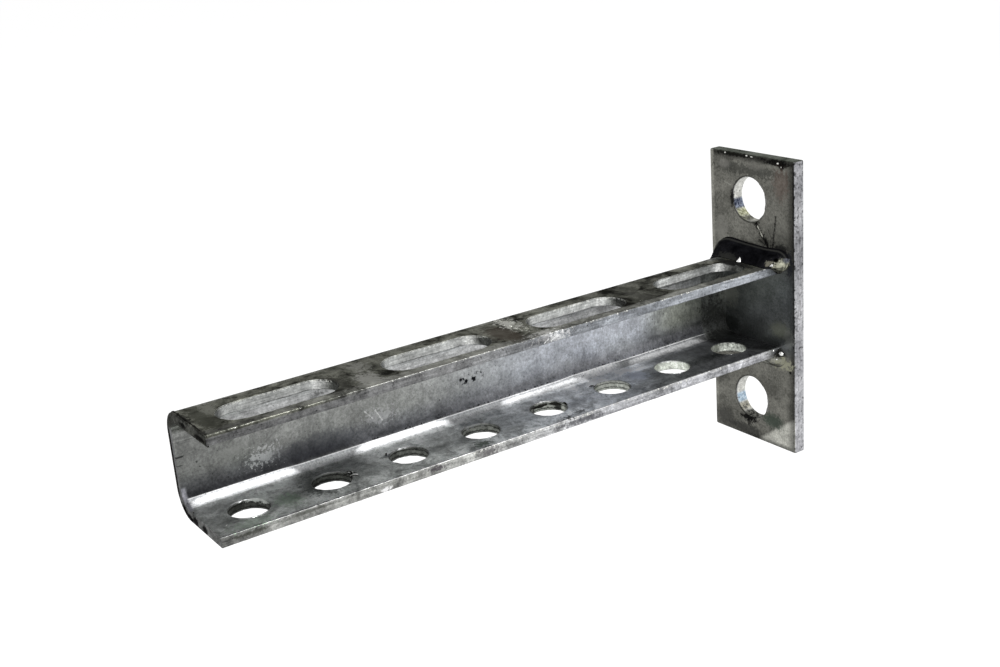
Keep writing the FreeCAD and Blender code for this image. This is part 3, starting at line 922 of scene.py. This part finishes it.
# %% Arm material
def arm_metal():
    """Zinc on the folded arm."""
    material, masks = metal("arm_zinc")
    x, y, z = masks["X"], masks["Y"], masks["Z"]
    colour, spread, gain = (0.3, 0.305, 0.305), 0.35, 1.0
    for mask, colour_here, spread_here, gain_here in arm_zones(masks):
        colour = colour_mix(mask, colour, colour_here)
        spread = number_mix(mask, spread, spread_here)
        gain = number_mix(mask, gain, gain_here)
    dark = shaded(colour, maths("SUBTRACT", 1.0, spread))
    pale = shaded(colour, maths("ADD", 1.0, spread))
    coat = coated(masks, dark, pale, Gain=gain, Cloud_Size=6.0, Blur=0.13, Grain=0.32, Pits=0.6)
    lengthwise = streaks(masks, (1.6, 0.09, 1.6), 0.32)
    upright = streaks(masks, (1.5, 1.5, 0.3), along(y, 0.04, (-90, -50, 0.07)))
    cut = both(masks["Open Side"], ramp(x, 11.2, 11.6))
    in_slot = both(ramp(masks["Level"], 0.5, 0.2), ramp(z, 3.6, 5.2))
    shade = number_mix(maths("MAXIMUM", cut, in_slot), upright, lengthwise)
    spots, lines = arm_marks()
    painted = lined(masks, spotted(masks, shaded(coat["Colour"], shade), spots), lines)
    flecks = flecked(masks, 0.8, 0.56)
    web = both(masks["Open Side"], web_side(x))
    pitted = patch(masks, (-13.25, -110, -2.3), (1, 5, 2.2), 0.5)
    pits = flecked(masks, 1.5, 0.52)
    dotted = both(band(fold_level(masks), 0.45, 0.55, 0.015), web_side(x), ramp(y, -155, -140))
    pepper = both(cut, ramp(masks["Noise"], 0.5, 0.62), 0.7)
    dark_dots = maths("MAXIMUM", both(pitted, web, pits), both(flecks, maths("MAXIMUM", dotted, pepper)))
    painted = colour_mix(dark_dots, painted, (0.012, 0.012, 0.014))
    # Painted glints along the upper and lower cut edges.
    sparkle = maths("ADD", maths("MULTIPLY", flecks, 0.85), 0.12)
    upper_edge = both(sparkle, ramp(x, 11.8, 12.0), band(z, 14.6, 15.2, 0.1), ramp(
        maths("SUBTRACT", masks["Noise"], both(ramp(y, -140, -170), 0.075)), 0.47, 0.58))
    lower_edge = both(sparkle, ramp(x, 11.6, 11.9), band(z, -14.3, -13.2, 0.15),
                      ramp(masks["Noise"], 0.41, 0.51), ramp(y, -165, -120))
    painted = colour_mix(maths("MAXIMUM", upper_edge, lower_edge), painted, (0.85, 0.85, 0.8))
    fold = both(ramp(z, -8.0, -9.0), ramp(x, -8.2, -8.6))
    roughness = maths("ADD", coat["Roughness"], maths("MULTIPLY", fold, 0.13))
    finish_metal(painted, roughness, coat["Height"], 0.1)
    return material


arm_zinc = arm_metal()
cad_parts["arm_channel"].material_slots[0].material = arm_zinc
print("arm finish:", len(arm_zinc.node_tree.nodes), "nodes")

# %% [markdown]
# ## The weld's finish, the dross and the bright drops
#
# The weld is darker and glossier than the sheet: its top is painted nearly black as a dark reflection,
# with a painted highlight along the ridge at its upper toe and at its left end, and it is paler where it
# ends. The material reads how far across the bead it is from a number stored on the mesh. Dross, the dirty
# zinc that clings to torn edges, is dark and dull. A few drops stayed clean, and their near-white colour
# also paints glints.

# %% Weld material
def weld_metal():
    """Dark glossy zinc over weld metal, paler at the bead's upper end."""
    material, masks = metal("weld_zinc")
    across = node(material.node_tree, "ShaderNodeAttribute", attribute_name="across").outputs["Fac"]
    # Painted dark reflection: the top of the bead is nearly black, and below it the bead is dark grey.
    over_top = ramp(masks["Z"], 9.0, 12.0)
    dark = colour_mix(over_top, (0.1, 0.1, 0.09), (0.004, 0.004, 0.005))
    pale = colour_mix(over_top, (0.26, 0.26, 0.23), (0.016, 0.016, 0.019))
    coat = coated(masks, dark, pale, Cloud_Size=5.0, Grain=0.3, Pits=0.3)
    # Painted highlights: a line along the ridge near the upper toe, and a soft one at the bead's left end.
    ridge = both(band(across, 0.84, 0.91, 0.03), over_top)
    colour = colour_mix(maths("MULTIPLY", ridge, 0.75), coat["Colour"], (0.06, 0.06, 0.055))
    left_end = both(ramp(masks["X"], -13.5, -18.0), over_top)
    colour = colour_mix(maths("MULTIPLY", left_end, 0.7), colour, (0.1, 0.1, 0.09))
    spots = [
        ((-6, -9.5, 15.6), (6, 2.2, 1.6), (0.05, 0.051, 0.046), 0.6, 0.7),
        ((15.9, -6.2, 14.9), (3.3, 4, 3.2), (0.42, 0.42, 0.33), 0.95, 0.5),
        ((12.2, -8.8, 16.6), (1.6, 2, 1.1), (0.2, 0.19, 0.15), 0.8, 0.8),
        ((16.6, -6.0, 17.4), (1.2, 2, 1.0), (0.12, 0.13, 0.17), 0.7, 0.7),
        # Painted shade in the pinhole.
        ((13.95, -7.45, 17.6), (1.05, 1.1, 0.95), (0.001, 0.001, 0.001), 1.0, 0.1),
        ((14.5, -6.0, -14.8), (4.0, 3, 2.6), (0.008, 0.008, 0.008), 0.95, 0.4),
        ((14.5, -5.0, -17.8), (4.5, 3, 1.6), (0.26, 0.26, 0.19), 0.7, 1.3),
    ]
    colour = spotted(masks, colour, spots)
    roughness = maths("MULTIPLY", coat["Roughness"], 0.85)
    finish_metal(colour, roughness, coat["Height"], 0.08)
    return material


weld_zinc = weld_metal()
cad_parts["weld_bead"].material_slots[0].material = weld_zinc
print("weld finish:", len(weld_zinc.node_tree.nodes), "nodes")


# %% Dross and bright zinc
def plain_zinc(name, dark, pale, cloud_size, grain, roughness_change, depth):
    """Zinc with one pair of colours all over."""
    material, masks = metal(name)
    coat = coated(masks, (*dark, 1), (*pale, 1), Cloud_Size=cloud_size, Grain=grain)
    roughness = maths("ADD", coat["Roughness"], roughness_change)
    finish_metal(coat["Colour"], roughness, coat["Height"], depth)
    return material


dross = plain_zinc("dross", (0.003, 0.003, 0.003), (0.03, 0.03, 0.026), 2.5, 0.4, 0.08, 0.15)
clean_zinc_and_glint = plain_zinc("clean_zinc_and_glint", (0.75, 0.75, 0.73), (0.95, 0.95, 0.93), 2.5, 0.05, -0.1, 0.02)
print("dross and bright zinc:", len(dross.node_tree.nodes), "nodes each")

# %% [markdown]
# ## The weld
#
# A fillet weld runs round the outside of the arm. It starts on the lower flange's free edge, goes under
# the arm, up the web and over the top, and ends in a blob at the upper flange's free edge. The welder
# laid it in small overlapping pools, but the zinc has levelled them, and its toe on the plate is a rolled
# ridge.
# It could be a modelled tube, but its size changes all the way, so it is a profile carried along the
# arm's outline: at each step the profile gets its own height on the plate and reach along the arm. How far
# each point is across the bead is stored on the mesh for the material.

# %% The arm's outline
LIP, WEB, BEND = 12.25, -16.25, 7.5
TOP, BOTTOM, SHEET = 15.0, -16.5, 3.0
BEND_X, LOW_Z, HIGH_Z = WEB + BEND, BOTTOM + BEND, TOP - BEND  # middles of the two bends


def turn(centre, radius, start, end, count):
    """Points and outward directions on an arc in the plane of x and z, between two angles in degrees."""
    angle = np.radians(np.linspace(start, end, count))
    outward = np.stack([np.cos(angle), np.sin(angle)], axis=-1)
    return np.array(centre) + radius * outward, outward


def straight(start, end, outward, count):
    """Points on a line that all face the same way."""
    share = np.linspace(0, 1, count)[:, None]
    return np.array(start) + share * (np.array(end) - np.array(start)), np.tile(outward, (count, 1)).astype(float)


def join(parts):
    """Pairs of arrays, such as points and directions, joined end to end."""
    return tuple(np.concatenate(arrays) for arrays in zip(*parts))


def weld_route():
    """Outline of the arm from its lower free edge, round the outside, to its upper free edge."""
    corner = 0.4
    runs = [
        straight((LIP, BOTTOM + 2.6), (LIP, BOTTOM + 0.6), (1, 0), 10),
        turn((LIP - corner, BOTTOM + corner), corner, 0, -90, 30),
        straight((LIP - 0.6, BOTTOM), (BEND_X, BOTTOM), (0, -1), 90),
        turn((BEND_X, LOW_Z), BEND, -90, -180, 60),
        straight((WEB, LOW_Z + 0.2), (WEB, HIGH_Z - 0.2), (-1, 0), 75),
        turn((BEND_X, HIGH_Z), BEND, 180, 90, 60), straight((BEND_X, TOP), (LIP - 0.6, TOP), (0, 1), 100),
        turn((LIP - corner, TOP - corner), corner, 90, 0, 36),
        straight((LIP, TOP - 0.6), (LIP, TOP - 2.7), (1, 0), 12),
    ]
    return join(runs)


route, outward = weld_route()
route_step = np.linalg.norm(np.diff(route, axis=0), axis=1)
print("weld route of", len(route), "steps,", round(float(route_step.sum()), 1), "mm long")


# %% Sizes of the bead along its route
def bead_sizes(count):
    """Height on the plate and reach along the arm at each step, by joining measured places smoothly."""
    sizes = np.array([
        (0, 0.6, 0.6), (8, 2.6, 2.6), (24, 3.2, 3.4), (40, 4.2, 4.8), (85, 4.4, 5.4), (130, 4.6, 5.6),
        (160, 3.6, 5.2), (200, 2.4, 5.0), (262, 2.4, 5.2), (280, 3.2, 5.5), (294, 4.1, 5.7), (305, 5.3, 5.8),
        (316, 5.8, 5.9), (332, 5.6, 5.8), (360, 5.2, 5.8), (400, 5.1, 5.9), (425, 5.4, 6.0), (440, 6.1, 5.8),
        (452, 5.6, 5.0), (461, 3.8, 3.4), (472, 0.8, 0.8)])
    place, height, reach = sizes.T
    steps = np.arange(count)
    return np.interp(steps, place, height), np.interp(steps, place, reach)


ACROSS = np.append(np.linspace(0, 1, 26), 1.06)
PINHOLE = (13.9, -7.3, 17.4)


def weld_rings():
    """The bead as rings. Across the bead, u goes from 0 at the toe on the arm to 1 at the toe on the
    plate: the surface is the straight line between the toes, swollen by a half sine, with long soft lumps
    and one pinhole. From the web on it also has a ridge near the plate, with a groove under it. Three more
    points run back inside the metal to close the ring."""
    count, u = len(route), ACROSS[None, :]
    height, reach = (size[:, None] for size in bead_sizes(count))
    ridge = np.interp(np.arange(count), (60, 240), (0, 1))[:, None]
    swell = 0.45 * np.sin(np.pi * u) + ridge * (
        0.4 * np.exp(-((u - 0.88) / 0.07) ** 2) - 0.3 * np.exp(-((u - 0.74) / 0.1) ** 2))
    rise, along_arm = height * u, reach * (1 - u)
    x, z = (route[:, i:i + 1] + outward[:, i:i + 1] * rise for i in (0, 1))
    flat = np.stack([x, ROOT - along_arm, z], -1)
    lumps = 0.25 * waves(flat, 7.0, seed=4) * np.sin(np.pi * u)
    crater = -0.8 * np.exp(-(((flat - PINHOLE) / 0.6) ** 2).sum(-1))
    fade = np.minimum(1, np.minimum(np.arange(count), np.arange(count)[::-1]) / 10)[:, None]
    push = (swell * np.minimum(height, 4.5) / 4.5 + lumps + crater) * fade
    slant = np.stack([outward[:, 0] * 0.72, np.full(count, -0.69), outward[:, 1] * 0.72], -1)[:, None, :]
    surface = flat + push[..., None] * slant
    surface[..., 1] = np.minimum(surface[..., 1], ROOT + 0.25)
    inside = [np.stack([route[:, 0] + outward[:, 0] * a, np.full(count, b), route[:, 1] + outward[:, 1] * a], -1)
              for a, b in ((0.3, ROOT + 0.25), (-0.35, ROOT + 0.25), (-0.35, ROOT - 2.0))]
    return np.concatenate([surface, np.stack(inside, axis=1)], axis=1)[None]


weld = skin("weld_run", weld_rings(), weld_zinc)
across_values = np.concatenate([np.tile(np.concatenate([ACROSS, [1, 0, 0]]), len(route)), [0.5, 0.5]])
weld.data.attributes.new("across", "FLOAT", "POINT").data.foreach_set("value", across_values.astype(np.float32))
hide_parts("weld_bead")

# %% [markdown]
# ## Rims and edges
#
# Zinc gathers on sharp edges. Round each punched hole and slot, and along each cut edge, it leaves a
# thin uneven roll. A bevel would be even, so each roll is a thin tube carried along the edge, whose
# radius changes at random and mostly stays within the metal, so that only the high spots stand out.

# %% Roll of zinc along a path
def roll(path, side, up, radius, points_round=8):
    """Rings of a tube whose middle follows path. side and up span each ring's plane: each is one direction
    for the whole path or one a ring, and radius is one number a ring."""
    angle = np.linspace(0, 2 * np.pi, points_round, endpoint=False)[None, :, None]
    side, up = (np.broadcast_to(np.array(way, float), path.shape)[:, None, :] for way in (side, up))
    return path[:, None, :] + (side * np.cos(angle) + up * np.sin(angle)) * radius[:, None, None]


def rim_path(x, y, z, radius, half_length, step=0.36):
    """Closed path round a slot with round ends, and its outward directions; half_length 0 is a circle."""
    half_turn = max(int(np.pi * radius / step), 12)
    side = int(2 * half_length / step)
    angle = np.linspace(-np.pi / 2, np.pi / 2, half_turn)
    back = np.linspace(half_length, -half_length, side + 2)[1:-1]
    shift = np.concatenate([np.full(half_turn, half_length), back, np.full(half_turn, -half_length), -back])
    turned = np.concatenate([angle, np.full(side, np.pi / 2), angle + np.pi, np.full(side, -np.pi / 2)])
    outward = np.stack([np.sin(turned), np.cos(turned), np.zeros_like(turned)], -1)
    return np.array([x, y, z]) + outward * radius + np.stack([0 * shift, shift, 0 * shift], -1), outward


ROLL_SHIFT = 0.28  # from the hole's wall to the middle of the roll


def rim_rolls(places, z, up, radius, half_length, thickness, seed):
    """One closed roll round each hole or slot at height z."""
    rings = []
    for number, (x, y) in enumerate(places):
        path, out = rim_path(x, y, z - up * 0.22, radius + ROLL_SHIFT, half_length)
        fine, long = waves(path, 2.0, seed + number), waves(path, 9.0, seed + 50 + number, 1)
        size = thickness * (0.9 + 0.14 * fine + 0.14 * long)
        rings.append(roll(path, out, (0, 0, 1), np.clip(size, 0.1, 0.62)))
    return np.stack(rings)


HOLES, HOLE_RADIUS = [(0.75, TIP + 13 + 25 * i) for i in range(8)], 5.75
SLOTS, SLOT_RADIUS, SLOT_HALF = [(1.75, TIP + 25 + 50 * i) for i in range(4)], 6.75, 10.75
for name, places, z, up, radius, half_length, thickness, seed in (
        ("slot_rims_top", SLOTS, TOP, 1, SLOT_RADIUS, SLOT_HALF, 0.3, 20),
        ("slot_rims_below", SLOTS, TOP - SHEET, -1, SLOT_RADIUS, SLOT_HALF, 0.28, 30),
        ("hole_rims_top", HOLES, BOTTOM + SHEET, 1, HOLE_RADIUS, 0, 0.3, 40),
        ("hole_rims_below", HOLES, BOTTOM, -1, HOLE_RADIUS, 0, 0.28, 60)):
    rolls = rim_rolls(places, z, up, radius, half_length, thickness, seed)
    skin(name, rolls, arm_zinc, closed=True)


# %% Rims of the bolt holes, which lie in the plate's front face
def bolt_rims():
    """Rims like those of the arm, turned to face the front: x stays, y takes the depth and z the height."""
    rings = []
    for number, z in enumerate((-BOLT_Z, BOLT_Z)):
        path, out = rim_path(BOLT_X, z, 0.0, BOLT_RADIUS + ROLL_SHIFT, 0)
        size = 0.3 * (0.75 + 0.45 * waves(path, 4.0, 80 + number))
        flat = roll(path, out, (0, 0, 1), np.clip(size, 0.08, 0.5))
        rings.append(np.stack([flat[..., 0], ROOT + 0.2 - flat[..., 2], flat[..., 1]], -1))
    return np.stack(rings)


skin("bolt_hole_rims", bolt_rims(), plate_zinc, closed=True)


# %% Rolls along the arm's cut edges
def edge_rolls():
    """Four rolls, one at each corner of the two free edges, from the tip to the weld."""
    y = np.arange(TIP + 0.45, ROOT - 4.2, 0.4)
    rings = []
    for number, (x, z) in enumerate(((LIP, TOP), (LIP, TOP - SHEET), (LIP, BOTTOM + SHEET), (LIP, BOTTOM))):
        inward = -1 if number % 2 == 0 else 1
        path = np.stack([np.full_like(y, x - 0.36), y, np.full_like(y, z + 0.36 * inward)], -1)
        size = 0.34 + 0.04 * waves(path, 1.2, 90 + number) + 0.05 * np.maximum(waves(path, 7.0, 95 + number, 2), 0)
        size[0] = size[-1] = 0.05
        rings.append(roll(path, (1, 0, 0), (0, 0, 1), np.clip(size, 0.05, 0.5)))
    return np.stack(rings)


skin("edge_rolls", edge_rolls(), arm_zinc)


# %% [markdown]
# ## The tip
#
# The arm was cropped from a longer length, and the cut tore a little: dark burrs sit along the end of the
# lower fold and flange, and crumbs cling to the upper flange's end. A roll follows the whole outline of
# the end face, and clumps of small lumps, each a rough ball worked out from two angles, do the rest.

# %% Roll round the end face
def hollow(run):
    """The same run seen from its hollow side, where outward points to the middle of the turn."""
    return run[0], -run[1]


def end_outline():
    """Closed outline of the folded sheet in the plane of x and z, with its outward directions."""
    inner = BEND - SHEET
    runs = [
        straight((LIP, BOTTOM + 0.3), (LIP, BOTTOM + SHEET - 0.3), (1, 0), 8),
        straight((LIP - 0.3, BOTTOM + SHEET), (BEND_X, BOTTOM + SHEET), (0, 1), 60),
        hollow(turn((BEND_X, LOW_Z), inner, -90, -180, 22)),
        straight((WEB + SHEET, LOW_Z), (WEB + SHEET, HIGH_Z), (1, 0), 50),
        hollow(turn((BEND_X, HIGH_Z), inner, 180, 90, 22)),
        straight((BEND_X, TOP - SHEET), (LIP - 0.3, TOP - SHEET), (0, -1), 60),
        straight((LIP, TOP - SHEET + 0.3), (LIP, TOP - 0.3), (1, 0), 8),
        straight((LIP - 0.3, TOP), (BEND_X, TOP), (0, 1), 60), turn((BEND_X, HIGH_Z), BEND, 90, 180, 34),
        straight((WEB, HIGH_Z), (WEB, LOW_Z), (-1, 0), 50), turn((BEND_X, LOW_Z), BEND, 180, 270, 34),
        straight((BEND_X, BOTTOM), (LIP - 0.3, BOTTOM), (0, -1), 60),
    ]
    return join(runs)


def end_roll():
    """An uneven roll just behind the sharp edge of the end face. Round the inside of the channel it is sunk
    into the metal, and it fades away along the web."""
    flat, outward = end_outline()
    outside = ((flat[:, 1] > TOP - 1) | (flat[:, 1] < BOTTOM + 1) | (flat[:, 0] < WEB + 1)).astype(float)
    outside = np.convolve(np.concatenate([outside[-3:], outside, outside[:3]]), np.ones(7) / 7, "valid")[:, None]
    flat = flat - outward * 0.35 * (1 - outside)
    path = np.stack([flat[:, 0], np.full(len(flat), TIP + 0.42), flat[:, 1]], -1)
    wide = path - path.mean(axis=0)
    wide[:, 1] = 0
    wide /= np.linalg.norm(wide, axis=1, keepdims=True)
    size = 0.26 + 0.1 * waves(path, 2.2, 110) + 0.1 * np.maximum(waves(path, 6.0, 111), 0)
    size *= np.interp(np.abs(path[:, 2]), (8, 11), (0.3, 1)) * np.interp(path[:, 0], (4, 9), (1, 0.35))
    return roll(path, wide, (0, 1, 0), np.clip(size, 0.06, 0.42))[None]


skin("tip_edge_roll", end_roll(), dross, closed=True)


# %% Clumps of rough balls
def rough_balls(centres, sizes, seed, rings=8, around=10, roughness=0.22):
    """Small lumps. Each is a ball on two angles whose radius is multiplied by random waves; sizes gives
    its half width, half depth and half height."""
    polar = np.linspace(0.06, np.pi - 0.06, rings)[:, None]
    angle = np.linspace(0, 2 * np.pi, around, endpoint=False)[None, :]
    ball = np.stack([np.sin(polar) * np.cos(angle), np.sin(polar) * np.sin(angle), np.cos(polar) + 0 * angle], -1)
    centres, sizes = np.asarray(centres, float), np.asarray(sizes, float)
    points = ball[None] * sizes[:, None, None, :]
    wobble = 1 + roughness * waves(points + centres[:, None, None, :] * 3.1, 1.6, seed)
    return centres[:, None, None, :] + points * wobble[..., None]


def tip_clumps():
    """Clumps at the end face: crumbs along the upper flange and burrs along the lower fold and flange. Each
    clump is a row of balls from one place to another, in x and z, with their size and number."""
    random = np.random.default_rng(7)
    centres, sizes = [], []
    rows = [
        ((-5.6, 13.3), (-1.0, 12.7), 0.5, 14), ((4.2, 12.4), (11.9, 12.2), 0.42, 18),
        ((-7.5, 14.9), (-1.5, 15.0), 0.3, 8), ((-14.2, -13.6), (-11.6, -15.6), 0.55, 11),
        ((-11.6, -15.9), (-7.4, -16.2), 0.85, 15), ((-6.6, -15.3), (-4.4, -15.2), 0.95, 10),
        ((-4.0, -16.2), (-1.0, -16.3), 0.35, 7), ((0.0, -15.4), (1.8, -15.6), 0.85, 9),
        ((3.0, -16.5), (8.0, -16.45), 0.2, 8), ((-8.0, -13.7), (-6.0, -13.6), 0.3, 5),
        ((3.4, -14.0), (5.4, -13.9), 0.25, 5),
    ]
    for start, end, size, count in rows:
        share = random.uniform(0, 1, (count, 1))
        flat = np.array(start) * (1 - share) + np.array(end) * share + random.normal(0, 0.12, (count, 2))
        size = size * random.uniform(0.7, 1.25, (count, 3))
        centres.append(np.stack([flat[:, 0], TIP + 0.08 + size[:, 1] * 1.25, flat[:, 1]], -1))
        sizes.append(size)
    return rough_balls(np.concatenate(centres), np.concatenate(sizes), 120)


skin("tip_burrs", tip_clumps(), dross)

# %% [markdown]
# ## Drops and specks
#
# Last come the small things: drops on the weld and at its ends, burrs left in some of the lower holes, a
# crust between the second and third slot, and specks scattered on the faces.

# %% Crust and specks
def specks_on(random, count, low, high, size, flat_axis):
    """Random places in a box and flattened lump sizes, thin along flat_axis."""
    centres = random.uniform(low, high, (count, 3))
    sizes = random.uniform(0.5, 1.0, (count, 1)) * size * random.uniform(0.6, 1.4, (count, 3))
    sizes[:, flat_axis] *= 0.35
    return centres, sizes


def small_lumps():
    """Places and sizes of every small lump: the crust and the specks, without those over a slot or hole."""
    random = np.random.default_rng(11)
    groups = [
        specks_on(random, 70, (-10, -103, TOP - 0.02), (6.5, -97, TOP + 0.02), 0.5, 2),
        specks_on(random, 36, (8.6, -100, TOP - 0.05), (12.0, -92, TOP + 0.02), 0.42, 2),
        specks_on(random, 40, (LIP - 0.02, -102, 12.4), (LIP + 0.02, -92, 14.8), 0.36, 0),
        specks_on(random, 60, (-8, -203, TOP - 0.04), (11.5, -14, TOP), 0.3, 2),
        specks_on(random, 60, (LIP - 0.03, -203, 12.3), (LIP, -14, 14.7), 0.24, 0),
        specks_on(random, 70, (LIP - 0.03, -203, -16.2), (LIP, -14, -13.8), 0.26, 0),
        specks_on(random, 60, (-8, -203, BOTTOM + SHEET - 0.05), (11.5, -14, BOTTOM + SHEET), 0.26, 2),
        specks_on(random, 30, (WEB + SHEET - 0.03, -200, -8), (WEB + SHEET, -14, 7), 0.28, 0),
        specks_on(random, 20, (WEB, -200, -8), (WEB + 0.03, -14, 7), 0.3, 0),
        specks_on(random, 24, (-8, -200, BOTTOM), (11.5, -14, BOTTOM + 0.04), 0.3, 2),
    ]
    centres, sizes = join(groups)
    lost, margin = np.zeros(len(centres), bool), 0.45
    for x, y in SLOTS:
        past_middle = np.maximum(np.abs(centres[:, 1] - y) - SLOT_HALF, 0)
        near = np.hypot(centres[:, 0] - x, past_middle) < SLOT_RADIUS + margin
        lost |= near & (centres[:, 2] > TOP - SHEET - 1)
    for x, y in HOLES:
        near = np.hypot(centres[:, 0] - x, centres[:, 1] - y) < HOLE_RADIUS + margin
        lost |= near & (centres[:, 2] < BOTTOM + SHEET + 0.5)
    return centres[~lost], sizes[~lost]


skin("zinc_specks", rough_balls(*small_lumps(), seed=130, rings=6, around=8), arm_zinc)

# %% Bright drops
# The drops sit where glints are, and their near-white zinc paints those glints.
drops = [(12.4, -8.9, 15.95), (13.6, -8.8, 16.1), (15.3, -6.6, -14.4), (13.4, -8.3, -13.4), (14.2, -7.6, -16.4)]
drop_sizes = [(1.0, 0.45, 0.36), (0.36, 0.4, 0.5), (0.95, 0.6, 0.7), (0.3, 0.3, 0.3), (0.25, 0.25, 0.25)]
drop_balls = rough_balls(drops, drop_sizes, 140, rings=12, around=14, roughness=0.12)
skin("bright_drops", drop_balls, clean_zinc_and_glint)


# %% A pointed drop on the weld
def pointed_drop(foot, tip, radius, stack=16, around=16):
    """A drop with a point: going up from its foot, its radius falls by the power 1.4 of the height left,
    and waves make it a little uneven."""
    share = np.linspace(0, 1, stack)[:, None, None]
    angle = np.linspace(0, 2 * np.pi, around, endpoint=False)[None, :, None]
    middle = np.array(foot) * (1 - share) + np.array(tip) * share
    spokes = np.concatenate([np.cos(angle), np.sin(angle), 0 * angle], axis=-1)
    flat = middle + spokes * radius * (0.06 + 0.94 * (1 - share) ** 1.4)
    return (flat + spokes * 0.12 * waves(flat, 1.5, 160)[..., None] * (1 - share))[None]


# Its near-white zinc paints the glint on the drop.
skin("pointed_drop", pointed_drop((-0.35, -9.75, 15.1), (-0.5, -9.45, 16.45), 1.2), clean_zinc_and_glint)


# %% Torn slivers in the lower holes
def slivers(ends, thickness, seed, stack=14, around=8):
    """Bent, tapering rods. Each runs from one point to another along a curve that is lifted in the middle,
    and its radius is a half sine along it, made uneven by waves."""
    share = np.linspace(0, 1, stack)[None, :, None]
    start, end, lift = (np.array([item[n] for item in ends], float)[:, None, :] for n in range(3))
    path = start * (1 - share) + end * share + lift * np.sin(np.pi * share)
    heading = end - start
    side = np.cross(heading, (0.0, 0.0, 1.0))
    side = side / np.linalg.norm(side, axis=-1, keepdims=True)
    over = np.cross(side, heading)
    over = over / np.linalg.norm(over, axis=-1, keepdims=True)
    radius = np.array(thickness)[:, None] * (0.25 + np.sin(np.pi * share[..., 0])) / 1.25
    radius = radius * (1 + 0.25 * waves(path, 1.5, seed))
    angle = np.linspace(0, 2 * np.pi, around, endpoint=False)[None, None, :, None]
    spokes = side[:, :, None, :] * np.cos(angle) + over[:, :, None, :] * np.sin(angle)
    return path[:, :, None, :] + spokes * radius[:, :, None, None]


torn = [
    ((-1.6, -161.2, -13.6), (1.9, -160.9, -13.4), (0, 0.9, 0.5)),
    ((0.3, -161.4, -13.9), (1.2, -158.6, -13.4), (0.3, 0, 0.5)),
    ((1.9, -161.5, -13.7), (3.6, -159.5, -13.4), (0.4, 0, 0.6)),
    ((-0.6, -162.5, -14.0), (1.1, -160.4, -13.3), (0, 0.3, 0.4)),
    ((-4.2, -94.2, -14.4), (-3.7, -88.6, -14.2), (0.6, 0, 0.3)),
    ((-3.4, -88.8, -14.1), (0.6, -86.2, -13.7), (0.3, -0.5, 0.4)),
    ((0.4, -86.0, -13.6), (2.6, -85.6, -13.5), (0, -0.3, 0.5)),
    ((-5.0, -71.5, -13.6), (-3.2, -70.2, -13.5), (0.2, 0, 0.4)),
    ((-4.9, -145.8, -13.6), (-3.2, -146.8, -13.5), (0.1, 0, 0.4)),
    ((1.2, -47.0, -15.8), (2.6, -46.7, -15.9), (0, 0.5, 0.2)),
]
thickness = [0.2, 0.16, 0.16, 0.18, 0.5, 0.42, 0.3, 0.25, 0.24, 0.4]
skin("hole_burrs", slivers(torn, thickness, 150), dross)
# Bright slivers that paint glints beside the burrs.
bright_torn = [
    ((-0.8, -160.7, -13.5), (1.6, -160.0, -13.2), (0, 0.4, 0.4)),
    ((1.4, -161.0, -13.6), (2.9, -159.2, -13.3), (0.3, 0, 0.4)),
]
skin("bright_burrs", slivers(bright_torn, [0.16, 0.16], 151), clean_zinc_and_glint)
